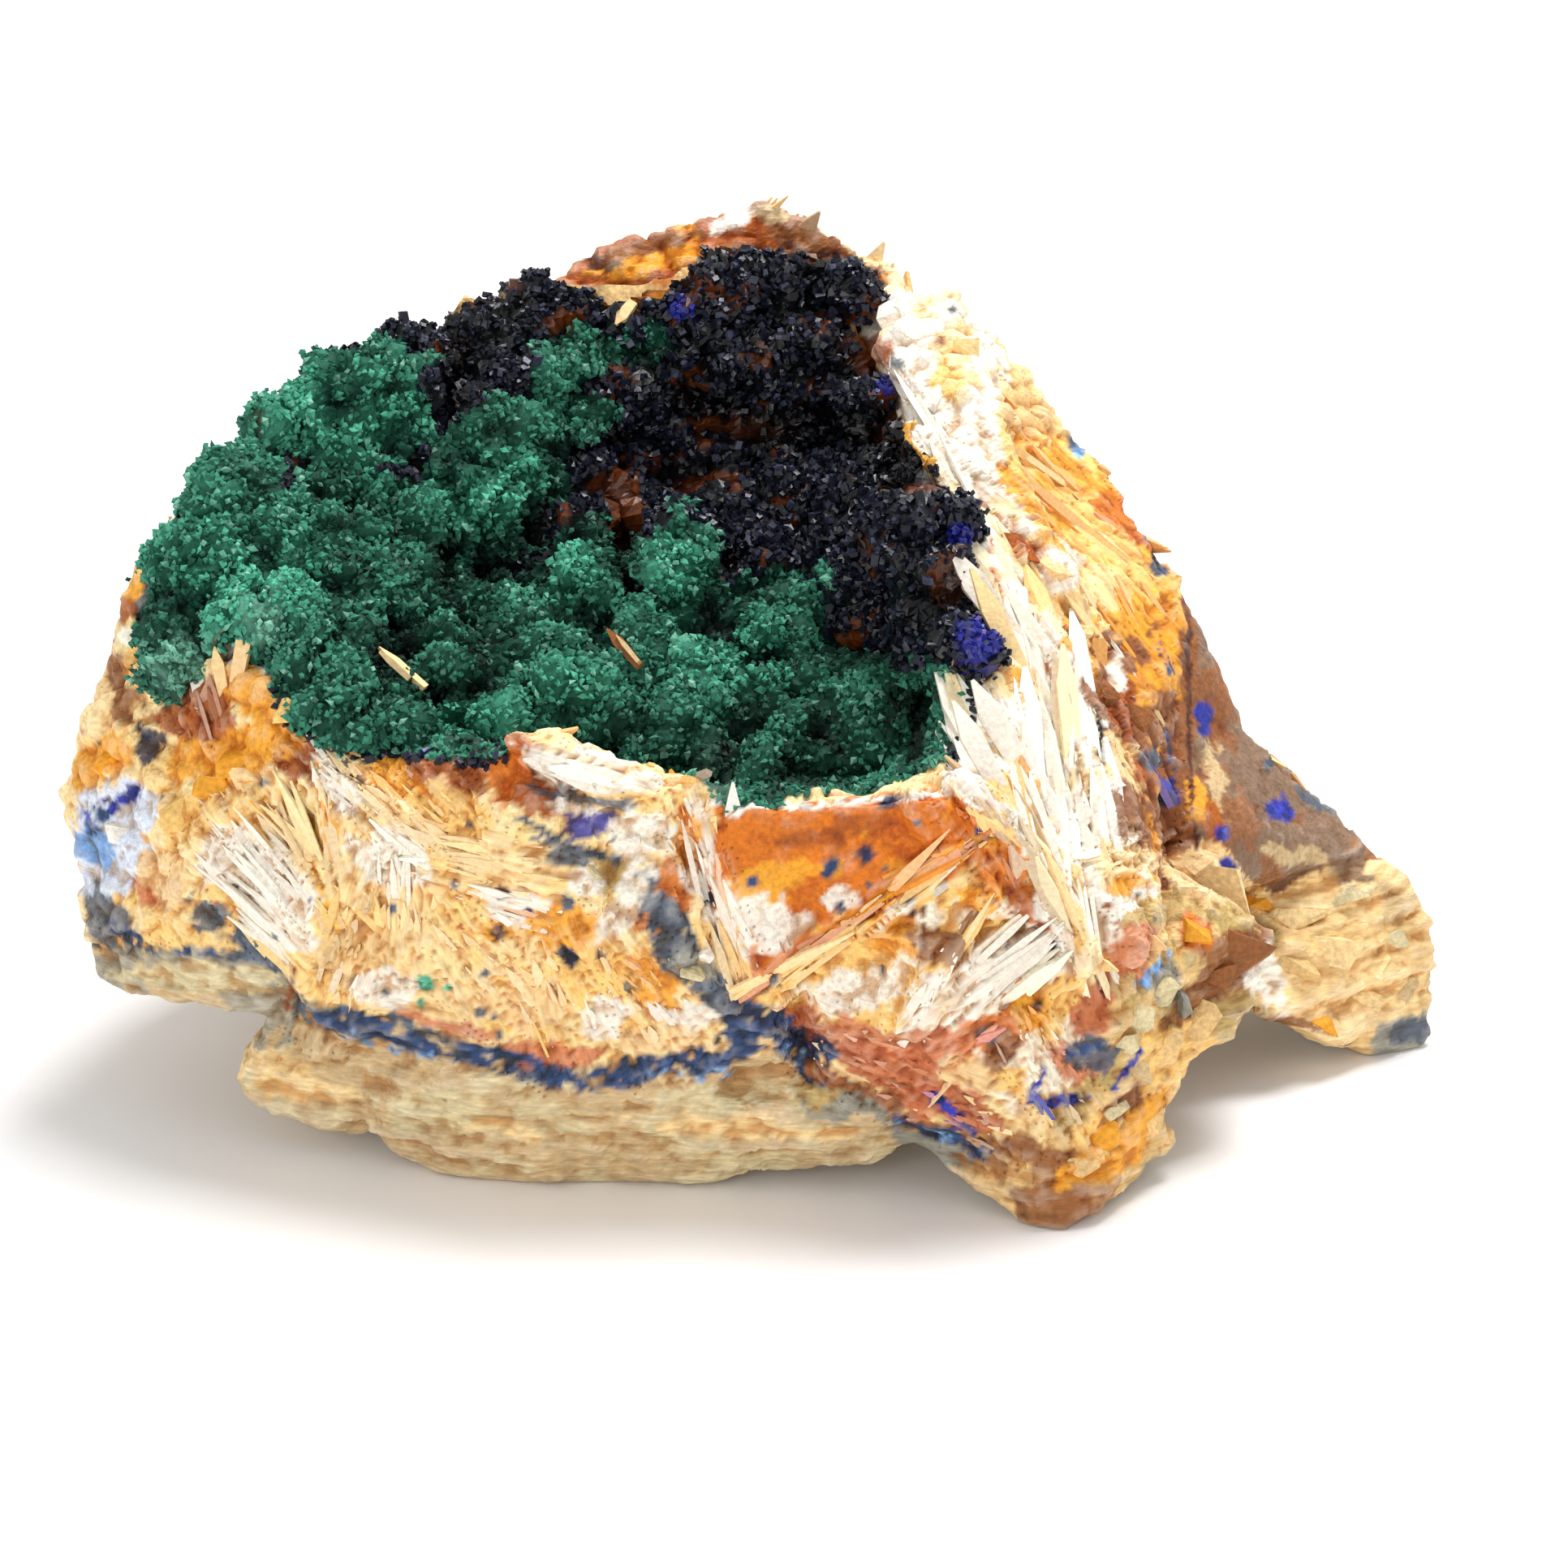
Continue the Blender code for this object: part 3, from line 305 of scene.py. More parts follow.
# Patches, painted from the first to the last: colour, middle u and v, half width and half height
# in pixels, turn in degrees
PATCHES = [
    # the top ridge
    ("white", 905, 266, 42, 12, -28), ("brown", 985, 285, 70, 26, 38), ("tan", 950, 262, 22, 12, 20),
    ("rust_dark", 1010, 330, 52, 20, 25), ("golden", 790, 322, 90, 14, -8),
    ("brown", 810, 300, 60, 12, -10), ("rust_dark", 730, 318, 40, 8, 10), ("rust", 740, 345, 60, 14, 10),
    ("white", 722, 360, 26, 14, 0), ("brown", 590, 380, 16, 20, 0),
    # the left shoulder and lobe
    ("sand", 350, 590, 60, 14, -12), ("rust", 345, 600, 50, 8, -10), ("white", 270, 600, 50, 22, -30),
    ("white", 205, 660, 26, 50, 20), ("golden", 170, 720, 22, 26, 0), ("rust", 158, 752, 20, 12, 0),
    ("slate", 188, 745, 14, 50, 10), ("white", 160, 790, 16, 16, 0), ("brown", 150, 840, 20, 50, 0),
    ("amber", 165, 820, 12, 30, 0), ("rust", 225, 890, 46, 34, 15), ("white", 290, 770, 20, 50, 30),
    ("pale", 250, 850, 20, 40, -20), ("golden", 310, 850, 44, 44, 0), ("rust", 262, 880, 26, 44, -20),
    ("white", 335, 800, 16, 22, 0), ("slate", 290, 805, 12, 8, 0), ("golden", 130, 930, 40, 26, -30),
    # the left end
    ("ice", 150, 1000, 60, 34, -20), ("ice", 135, 1065, 44, 40, 0), ("sky", 112, 1040, 22, 26, 0),
    ("navy", 180, 928, 20, 30, 0), ("navy", 178, 905, 16, 12, 0), ("slate", 130, 1135, 24, 34, 0),
    ("amber", 230, 1010, 34, 40, 0), ("golden", 235, 940, 40, 26, 0), ("golden", 290, 935, 50, 30, -10),
    ("white", 300, 1060, 46, 50, 20), ("white", 350, 1120, 44, 60, -35), ("cream", 390, 1050, 26, 80, -28),
    ("slate", 262, 1125, 20, 22, 20), ("pink", 190, 1100, 30, 26, 0), ("pale", 210, 1080, 40, 36, 0),
    # the front wall
    ("rust", 375, 915, 34, 46, 10), ("golden", 330, 900, 40, 30, 0), ("rust_dark", 425, 930, 10, 44, -24),
    ("golden", 410, 1000, 12, 60, 0), ("white", 415, 950, 16, 50, -20), ("golden", 500, 960, 60, 26, 30),
    ("rust", 480, 922, 80, 14, 0), ("rust_dark", 440, 905, 60, 8, 5), ("rust", 600, 925, 60, 36, 10),
    ("orange", 640, 960, 40, 40, 0), ("rust", 560, 960, 50, 20, 20), ("amber", 560, 1000, 60, 24, 20),
    ("rust_dark", 690, 950, 34, 22, 0), ("rust", 665, 985, 34, 26, 0), ("white", 728, 950, 76, 20, 14),
    ("white", 740, 925, 40, 12, 14), ("slate", 720, 985, 60, 10, 12), ("royal", 726, 1020, 42, 16, 5),
    ("white", 705, 998, 30, 10, 10), ("white", 790, 1040, 36, 34, 0), ("green_grey", 735, 1075, 40, 28, 0),
    ("white", 720, 1085, 26, 20, 0), ("slate", 690, 1050, 30, 14, 15), ("white", 480, 1060, 50, 34, 20),
    ("cream", 600, 1060, 80, 30, 14), ("white", 640, 1110, 40, 20, 10), ("golden", 618, 1145, 18, 16, 0),
    ("sand", 440, 1170, 40, 50, 0), ("white", 470, 1220, 40, 26, 0), ("golden", 700, 1150, 50, 40, 30),
    ("golden", 790, 1200, 60, 30, 20), ("amber", 720, 1200, 60, 40, 0),
    # the weathered right side
    ("tan", 1505, 960, 12, 50, -20), ("taupe", 1560, 930, 50, 40, 40), ("taupe", 1640, 1040, 60, 30, 40),
    ("golden", 1500, 1000, 14, 24, 30), ("tan", 1600, 1060, 50, 12, 20), ("brown", 1500, 860, 20, 60, 0),
    ("slate", 1620, 990, 30, 12, 40), ("rust", 1500, 1010, 16, 30, 0),
    # the foot of the front wall
    ("white", 735, 1250, 26, 34, -10), ("white", 850, 1250, 50, 18, -10), ("pale", 640, 1240, 60, 34, 0),
    ("pink", 690, 1300, 60, 16, 0), ("pink", 560, 1268, 60, 10, 10), ("pale", 820, 1280, 50, 20, 0),
    ("green_grey", 400, 1248, 30, 12, 0),
    # the orange face and the blades around it
    ("orange", 820, 1110, 24, 50, 35), ("white", 780, 1110, 22, 50, 30), ("white", 865, 1060, 22, 60, -16),
    ("golden", 850, 1030, 14, 30, -10), ("white", 905, 985, 10, 26, 0), ("white", 925, 1130, 60, 44, 20),
    ("orange", 990, 1050, 96, 42, -12), ("golden", 960, 1085, 60, 22, -14),
    ("orange", 1110, 1030, 60, 36, -10), ("white", 1040, 1105, 26, 12, -30),
    ("rust", 1000, 1030, 40, 12, -10), ("rust", 1070, 1010, 40, 14, 0), ("orange", 1020, 1150, 90, 12, -34),
    ("golden", 1120, 1085, 110, 14, -32), ("amber", 1060, 1180, 50, 40, -30),
    ("white", 1060, 1220, 50, 24, -10), ("golden", 1110, 1150, 34, 34, 0),
    ("orange", 1240, 1075, 40, 44, 20), ("rust", 1260, 1110, 30, 20, 40), ("golden", 1210, 1110, 30, 26, 0),
    ("brown", 1155, 1170, 18, 40, -60), ("white", 1230, 1190, 62, 34, -28),
    ("white", 1140, 1230, 14, 44, 30), ("white", 1180, 1260, 50, 12, -40),
    ("orange", 1230, 1268, 60, 26, -20), ("golden", 1275, 1250, 26, 24, 0),
    ("rust_dark", 1216, 1275, 14, 12, 0), ("brown", 1240, 1300, 24, 26, 0),
    ("white", 1300, 1130, 20, 60, -16),
    # the pink stone under the blades
    ("pink", 1080, 1290, 120, 20, 16), ("terracotta", 985, 1262, 30, 24, 30),
    ("terracotta", 1100, 1320, 70, 26, 20), ("pink", 1160, 1290, 40, 26, 10),
    ("pale", 1195, 1340, 40, 30, 30), ("terracotta", 1180, 1370, 60, 26, 26),
    ("terracotta", 1345, 1250, 36, 26, -40), ("pink", 1330, 1310, 30, 24, 0),
    ("pink", 1395, 1175, 36, 30, -50), ("white", 1355, 1100, 30, 70, -12), ("cream", 1380, 1060, 34, 40, 0),
    ("golden", 1390, 1090, 26, 12, 0),
    # the right rim and its outer side
    ("amber", 1245, 975, 34, 20, 20), ("golden", 1262, 968, 18, 12, 20), ("golden", 1245, 830, 10, 10, 0),
    ("white", 1160, 460, 70, 90, 20), ("cream", 1180, 440, 26, 44, 0), ("rust", 1078, 430, 24, 22, 20),
    ("white", 1100, 380, 40, 20, -20), ("amber", 1165, 470, 16, 20, 0), ("golden", 1245, 590, 34, 12, 40),
    ("white", 1190, 570, 50, 34, 45), ("pink", 1275, 680, 46, 14, 30), ("rust", 1262, 668, 30, 8, 30),
    ("golden", 1320, 780, 20, 20, 0), ("amber", 1300, 740, 30, 24, 20), ("orange", 1390, 640, 50, 18, 45),
    ("golden", 1330, 590, 44, 14, 40), ("golden", 1400, 760, 30, 30, 0), ("sand", 1275, 510, 34, 26, 30),
    ("white", 1300, 700, 34, 26, 40), ("cream", 1340, 740, 26, 50, 20),
    # the brown right shoulder
    ("brown", 1360, 850, 26, 30, 20), ("brown", 1400, 890, 40, 26, 20), ("rust", 1385, 870, 20, 30, -10),
    ("white", 1375, 830, 10, 24, -20), ("cream", 1385, 940, 26, 40, -40), ("rust", 1420, 950, 26, 20, 30),
    ("brown", 1400, 1010, 20, 40, -20), ("brown", 1445, 900, 22, 120, 0), ("golden", 1440, 820, 26, 40, 0),
    ("brown", 1465, 900, 12, 160, 0), ("golden", 1480, 985, 16, 26, 0), ("brown", 1520, 1180, 50, 34, -40),
    ("orange", 1475, 1150, 26, 24, 0), ("pale", 1485, 1075, 34, 34, 20),
    # the tail
    ("white", 1560, 1200, 20, 50, -30), ("cream", 1640, 1110, 70, 20, -6), ("tan", 1720, 1110, 26, 20, 0),
    ("pale", 1650, 1240, 70, 26, 10), ("grey", 1735, 1285, 46, 30, -30), ("slate", 1745, 1275, 24, 20, -30),
    ("brown", 1600, 1265, 60, 8, 16),
    # the front foot
    ("grey", 1430, 1215, 24, 26, 0), ("slate", 1345, 1300, 24, 24, 0), ("sand", 1400, 1380, 60, 40, 0),
    ("amber", 1360, 1410, 40, 30, 0), ("brown", 1290, 1430, 70, 20, 10), ("brown", 1310, 1490, 50, 40, 0),
    ("golden", 1330, 1440, 40, 16, -30),
    # more on the right rim
    ("tan", 1290, 1070, 20, 60, -18), ("amber", 1330, 1120, 12, 50, -12), ("pink", 1228, 705, 10, 34, -20),
    ("amber", 1275, 905, 10, 44, -20), ("tan", 1325, 930, 8, 60, -15),
    # more on the front foot
    ("brown", 1390, 1370, 40, 14, -50), ("amber", 1450, 1300, 60, 50, 0),
    ("golden", 1400, 1400, 60, 16, -50), ("brown", 1470, 1235, 50, 16, -50),
    ("brown", 1130, 1375, 60, 10, 22),
    # the base slab
    ("quartz", 540, 1370, 70, 20, 6), ("grey", 1030, 1360, 70, 20, 16), ("quartz", 880, 1350, 90, 16, 4),
    ("tan", 700, 1420, 160, 20, 0), ("cream", 900, 1390, 140, 12, 4), ("cream", 620, 1400, 60, 10, 6),
    ("cream", 980, 1395, 60, 8, 6), ("sand", 340, 1320, 50, 24, -10), ("cream", 370, 1335, 70, 16, 12),
    ("grey", 1150, 1410, 60, 14, 22), ("green_grey", 1000, 1345, 30, 12, 10),
    ("quartz", 250, 1205, 100, 16, 3),
]

# Veins and lines: colour, width in pixels, share covered, places they pass
VEINS = [
    ("white", 9, 0.8, [(870, 990), (960, 991), (1060, 987), (1165, 979)]),
    ("slate", 26, 0.8, [(370, 1240), (440, 1262)]),
    ("blue", 26, 0.85, [(395, 1255), (500, 1280), (600, 1308), (720, 1328), (800, 1322)]),
    ("slate", 12, 0.8, [(480, 1258), (520, 1276), (560, 1300)]),
    ("blue", 32, 0.85, [(780, 1318), (870, 1300), (930, 1275)]),
    ("sky", 14, 0.6, [(800, 1322), (900, 1322)]),
    ("sky", 8, 0.5, [(380, 1264), (460, 1288), (600, 1322)]),
    ("slate", 40, 0.9, [(815, 1130), (850, 1190), (900, 1235), (950, 1262)]),
    ("slate", 26, 0.7, [(795, 1090), (830, 1150)]),
    ("grey", 26, 0.8, [(845, 1185), (870, 1195)]),
    ("blue", 44, 0.85, [(920, 1250), (960, 1275), (1005, 1305)]),
    ("navy", 20, 0.8, [(900, 1230), (960, 1270), (1010, 1310)]),
    ("sky", 12, 0.5, [(940, 1290), (990, 1300)]),
    ("brown", 12, 0.9, [(1000, 1316), (1090, 1360), (1150, 1390)]),
    ("blue", 14, 0.9, [(1105, 1378), (1160, 1396), (1215, 1424)]),
    ("sky", 8, 0.6, [(1110, 1384), (1170, 1404)]),
    ("royal", 12, 0.9, [(1150, 1352), (1200, 1396)]),
    ("royal", 12, 0.95, [(1275, 1360), (1290, 1322)]),
    ("royal", 14, 0.9, [(1300, 1365), (1340, 1352)]),
    ("royal", 12, 0.9, [(1370, 1345), (1400, 1300)]),
    ("blue", 12, 0.8, [(1320, 1300), (1350, 1290)]),
    ("sky", 10, 0.7, [(1405, 1215), (1436, 1180)]),
    ("slate", 14, 0.7, [(170, 1164), (250, 1176), (340, 1184)]),
    ("blue", 8, 0.7, [(200, 1172), (270, 1176)]),
    ("slate", 22, 0.7, [(255, 1120), (300, 1160), (345, 1190)]),
    ("royal", 18, 0.7, [(105, 1010), (160, 985), (165, 975)]),
    ("blue", 14, 0.7, [(110, 1020), (130, 1000)]),
    ("blue", 18, 0.7, [(140, 1140), (165, 1160)]),
    ("slate", 10, 0.8, [(640, 1010), (690, 1040), (760, 1060)]),
    ("blue", 8, 0.6, [(1440, 900), (1448, 960)]),
    ("royal", 16, 0.8, [(1438, 965), (1446, 985)]),
    ("blue", 10, 0.7, [(1430, 800), (1440, 830)]),
    ("rust_dark", 6, 0.9, [(1462, 720), (1466, 900), (1474, 1050)]),
    ("rust", 8, 0.8, [(1180, 1050), (1230, 1120), (1290, 1140)]),
    ("dark", 7, 0.9, [(1350, 870), (1360, 940)]),
    ("brown", 6, 0.8, [(1240, 900), (1270, 1000), (1330, 1170)]),
    ("brown", 5, 0.7, [(1290, 820), (1330, 960), (1350, 1060)]),
    ("rust", 7, 0.8, [(840, 1000), (905, 1180), (935, 1235)]),
    ("brown", 6, 0.8, [(1230, 1022), (1050, 1140), (935, 1228)]),
    ("brown", 5, 0.8, [(1140, 1110), (1140, 1180), (1130, 1230)]),
    ("golden", 6, 0.8, [(350, 980), (420, 1160)]),
    ("brown", 4, 0.7, [(404, 1060), (424, 1160)]),
    ("golden", 5, 0.7, [(395, 900), (398, 1060)]),
    ("brown", 6, 0.8, [(370, 1190), (355, 1240)]),
]

# Small spots: colour, middle, radius
SPOTS = [
    ("navy", 1068, 1052, 12), ("slate", 1117, 1110, 12), ("rust_dark", 1124, 1124, 10),
    ("navy", 1036, 1118, 8), ("slate", 955, 1208, 9), ("navy", 876, 1108, 9), ("blue", 928, 1088, 7),
    ("blue", 1024, 1065, 8), ("blue", 1018, 1076, 6), ("navy", 704, 1178, 15), ("navy", 692, 1172, 9),
    ("slate", 773, 1218, 8), ("green_grey", 780, 1218, 7), ("teal", 525, 1210, 10), ("teal", 552, 1216, 5),
    ("teal", 518, 1236, 5), ("blue", 560, 1092, 7), ("blue", 480, 1122, 7), ("slate", 598, 1200, 6),
    ("rust_dark", 614, 1148, 9), ("rust_dark", 620, 1100, 7), ("rust_dark", 740, 1178, 7),
    ("blue", 650, 1122, 6), ("slate", 700, 1112, 12), ("blue", 610, 1254, 6), ("slate", 590, 1248, 7),
    ("royal", 1332, 1040, 5), ("royal", 1205, 1024, 6), ("slate", 1216, 1274, 12), ("navy", 1296, 1168, 10),
    ("slate", 1420, 935, 14), ("navy", 1440, 985, 12), ("royal", 1484, 880, 13), ("royal", 1482, 900, 9),
    ("royal", 1575, 997, 15), ("royal", 1588, 1004, 9), ("royal", 1506, 1026, 11),
    ("royal", 1512, 1066, 13), ("royal", 1522, 1082, 10), ("blue", 1496, 776, 8), ("blue", 1432, 700, 10),
    ("slate", 1428, 690, 12), ("slate", 1325, 545, 12), ("sky", 1330, 556, 8), ("blue", 1418, 662, 8),
    ("slate", 1565, 940, 8), ("navy", 1180, 792, 9), ("blue", 533, 915, 12), ("royal", 545, 912, 8),
    ("slate", 1104, 446, 8), ("slate", 1172, 382, 6), ("brown", 1160, 420, 7), ("blue", 1098, 985, 10),
    ("navy", 1090, 990, 12), ("slate", 322, 965, 7), ("rust_dark", 1280, 1240, 8), ("slate", 235, 1105, 6),
]

# What the hollows and cracks keep of each colour: rust stain and painted shade
STAIN_AND_SHADE = np.array([0.66, 0.46, 0.30])  # what the cracks keep of each colour
CRUMB_SIZE = 0.55  # mm, the small crystals of veins and spots, each of its own brightness
SPECK_SIZE = 1.9  # mm between the small dark and rusty specks of the front wall
WALL_TOP, WALL_FOOT, WALL_END = 900, 1330, 1500  # pixels of its upper, lower and right side

# What the hidden sides are mixed of, from the first to the last: colour, share, size of the blots
# in mm, octaves and seed of their noise, and the heights of the noise where they start and are full
HIDDEN_MIX = [
    ("cream", 1.0, 14, 3, 40, 0.0, 0.15), ("white", 1.0, 7, 3, 63, 0.2, 0.3),
    ("golden", 0.8, 10, 3, 50, 0.2, 0.32), ("orange", 0.8, 6, 3, 53, 0.3, 0.4),
    ("brown", 0.8, 12, 4, 55, 0.22, 0.34), ("taupe", 0.8, 16, 3, 60, 0.2, 0.35),
    ("blue", 1.0, 3, 2, 67, 0.42, 0.48),
]
HIDDEN_BASE_TOP, HIDDEN_BASE_FULL = 18, 8  # mm up, where the stone of the base ends and is full
HIDDEN_VEIN_UP = 16  # mm, a dark vein around the hidden sides


def turned(uv, u, v, degrees):
    """Places relative to a middle, turned so that x runs along the patch."""
    angle = math.radians(degrees)
    x, y = uv[:, 0] - u, uv[:, 1] - v
    return x * math.cos(angle) + y * math.sin(angle), y * math.cos(angle) - x * math.sin(angle)


def mix(colours, colour, share):
    """Colours drawn towards another by a share of their own at each point."""
    return colours + (colour - colours) * share[:, None]


def paint_hidden(points):
    """Colours of the sides that the photograph does not show."""
    fine = fractal(points, 3.5, 3, 45)
    small = 0.35 * fine + 0.15 * fractal(points, 0.8, 2, 48)
    colours = np.tile(COLOURS["sand"], (len(points), 1))
    for name, cover, size, octaves, seed, low, high in HIDDEN_MIX:
        share = cover * smoothstep(low, high, fractal(points, size, octaves, seed) + small)
        colours = mix(colours, COLOURS[name], share)
    base = smoothstep(HIDDEN_BASE_TOP, HIDDEN_BASE_FULL, points[:, 2] + 5 * fine)
    stone = mix(np.tile(COLOURS["tan"], (len(points), 1)), COLOURS["quartz"], smoothstep(-0.2, 0.3, fine))
    colours = mix(colours, stone, 0.75 * base)
    gap = np.abs(points[:, 2] + 4 * fractal(points, 20, 3, 65) - HIDDEN_VEIN_UP)
    vein = smoothstep(1.1, 0.4, gap) * smoothstep(-0.1, 0.2, fine)
    return mix(colours, COLOURS["slate"], 0.8 * vein)


def paint_areas(colours, points, bent, fine, grain):
    """The large areas and the patches, with ragged edges."""
    for first, second, corners in AREAS:
        within = inside(bent, corners)
        colours[within] = COLOURS[first]
        part = smoothstep(0.05, 0.22, fractal(points, 4.5, 3, 19) + 0.6 * fine + 0.2 * grain) * within
        colours = mix(colours, COLOURS[second], 0.75 * part)
    for name, u, v, wide, high, turn in PATCHES:
        x, y = turned(bent, u, v, turn)
        reach = np.sqrt((x / wide) ** 2 + (y / high) ** 2)
        share = smoothstep(1.08, 0.94, reach + 0.45 * fine + 0.25 * grain)
        colours = mix(colours, COLOURS[name], 0.92 * share)
    return colours


def paint_veins(colours, points, uv, bent, fine, grain):
    """Veins, specks and spots, made of crumbs that differ in brightness."""
    _, _, number = cells(points / CRUMB_SIZE, 73)
    crumb = (0.55 + 1.0 * number)[:, None]
    for name, wide, cover, path in VEINS:
        gap = np.full(len(points), 1e9)
        for a, b in zip(path, path[1:]):
            gap = np.minimum(gap, line_share(uv + (bent - uv) * 0.45, a, b)[0])
        share = smoothstep(0.62, 0.48, gap / wide + 0.35 * fine + 0.15 * grain)
        share = share * smoothstep(-0.45, -0.1, grain + 1.6 * (cover - 0.8))
        colours = mix(colours, COLOURS[name] * crumb, share)
    first, _, number = cells(points / SPECK_SIZE, 70)
    in_wall = (uv[:, 1] > WALL_TOP) & (uv[:, 1] < WALL_FOOT) & (uv[:, 0] < WALL_END)
    speck = (first < 0.1 + 0.12 * number) & (number < 0.3) & in_wall
    colours[speck] = COLOURS["slate"]
    colours[speck & (number < 0.12)] = COLOURS["rust"]
    for name, u, v, radius in SPOTS:
        gap = np.hypot(uv[:, 0] - u, uv[:, 1] - v) + 0.35 * radius * (grain + 1.5 * fine)
        colours = mix(colours, COLOURS[name] * crumb, smoothstep(1.1, 0.7, gap / radius))
    return colours


def paint_rock(points, normals):
    """The rock's colours: named places of the photograph, and a like mix on hidden sides."""
    uv, _ = to_picture(points)
    bent = uv + np.stack([
        16 * fractal(points, 3.2, 3, seed) + 5 * fractal(points, 0.9, 2, seed + 3) for seed in (1, 7)
    ], axis=1)
    fine, grain = fractal(points, 1.6, 3, 13), fractal(points, 0.7, 2, 16)
    colours = np.tile(COLOURS["cream"], (len(points), 1))
    colours = paint_areas(colours, points, bent, fine, grain)
    colours = paint_veins(colours, points, uv, bent, fine, grain)
    seen = smoothstep(-0.25, 0.1, -normals @ VIEW_AHEAD)
    colours = mix(paint_hidden(points), colours, seen)
    shade = 1 + 0.10 * fine + 0.12 * grain
    return np.clip(colours * shade[:, None], 0.004, BRIGHTEST)


# Meshes

def read(items, name, width=1, kind=float):
    """One property of all of a mesh's points, edges or faces, with so many numbers each."""
    numbers = np.empty(len(items) * width, dtype=kind)
    items.foreach_get(name, numbers)
    return numbers.reshape(-1, width) if width > 1 else numbers


def edges_of(mesh):
    """The two points of each edge."""
    return read(mesh.edges, "vertices", 2, np.int64)


def points_of(mesh):
    """Places and normals of a mesh's points, in mm."""
    return read(mesh.vertices, "co", 3) / MM, read(mesh.vertices, "normal", 3)


def move_points(mesh, points):
    mesh.vertices.foreach_set("co", (points * MM).ravel())
    mesh.update()


def colour_points(mesh, colours, grain=None, even=None):
    """Stores the points' colours, the places that their fine grain is read at, and how much of its
    relief shows."""
    layer = mesh.color_attributes.new("colour", "FLOAT_COLOR", "POINT")
    layer.data.foreach_set("color", np.column_stack([colours, np.ones(len(colours))]).ravel())
    layer = mesh.attributes.new("grain", "FLOAT_VECTOR", "POINT")
    layer.data.foreach_set("vector", (points_of(mesh)[0] if grain is None else grain).ravel())
    layer = mesh.attributes.new("even", "FLOAT", "POINT")
    layer.data.foreach_set("value", np.ones(len(colours)) if even is None else even)


def evenness(mesh, grain):
    """0 where the places of the fine grain jump from one book to the next, 1 elsewhere."""
    edges = edges_of(mesh)
    jumps = np.linalg.norm(grain[edges[:, 0]] - grain[edges[:, 1]], axis=1) > 2
    even = np.ones(len(mesh.vertices))
    even[edges[jumps]] = 0
    return even


def finer_copy(node, name, voxel):
    """A copy of a solid as an object of its own, remeshed finely."""
    thing = bpy.data.objects.new(name, bpy.data.objects[node].data.copy())
    bpy.context.scene.collection.objects.link(thing)
    remesh = thing.modifiers.new("Remesh", "REMESH")
    remesh.mode = "VOXEL"
    remesh.voxel_size = voxel * MM
    graph = bpy.context.evaluated_depsgraph_get()
    mesh = bpy.data.meshes.new_from_object(thing.evaluated_get(graph))
    thing.modifiers.clear()
    thing.data = mesh
    mesh.materials.clear()
    return thing


def means_around(edges, values):
    """The mean of the neighbours' values for each point."""
    a, b = edges.T
    count = np.bincount(edges.ravel(), minlength=len(values))
    total = [
        np.bincount(a, values[b, axis], len(values)) + np.bincount(b, values[a, axis], len(values))
        for axis in range(3)
    ]
    return np.stack(total, axis=1) / count[:, None]


def relax(mesh, rounds):
    """Smooths away the solid's large flat facets."""
    points, _ = points_of(mesh)
    edges = edges_of(mesh)
    for _ in range(rounds):
        points = 0.4 * points + 0.6 * means_around(edges, points)
    move_points(mesh, points)


def hollowness(mesh, rounds):
    """How far each point lies below its surroundings, in mm."""
    points, normals = points_of(mesh)
    edges, around = edges_of(mesh), points
    for _ in range(rounds):
        around = means_around(edges, around)
    return ((around - points) * normals).sum(axis=1)


def tree_of(thing):
    """For casting at a mesh in mm."""
    points, _ = points_of(thing.data)
    faces = [tuple(face.vertices) for face in thing.data.polygons]
    return BVHTree.FromPolygons([Vector(p) for p in points], faces)


def near(points, trees, reach):
    """Whether places lie within so many mm of one of the surfaces."""
    return np.array([any(tree.find_nearest(Vector(p), reach)[0] for tree in trees) for p in points])


def new_thing(name, points, faces, colours, grain=None, even=None):
    """An object from places in mm, with nothing under the floor."""
    mesh = bpy.data.meshes.new(name)
    points[:, 2] = np.maximum(points[:, 2], 0)
    mesh.from_pydata((points * MM).tolist(), [], faces)
    colour_points(mesh, colours, grain, even)
    thing = bpy.data.objects.new(name, mesh)
    bpy.context.scene.collection.objects.link(thing)
    return thing


# Materials

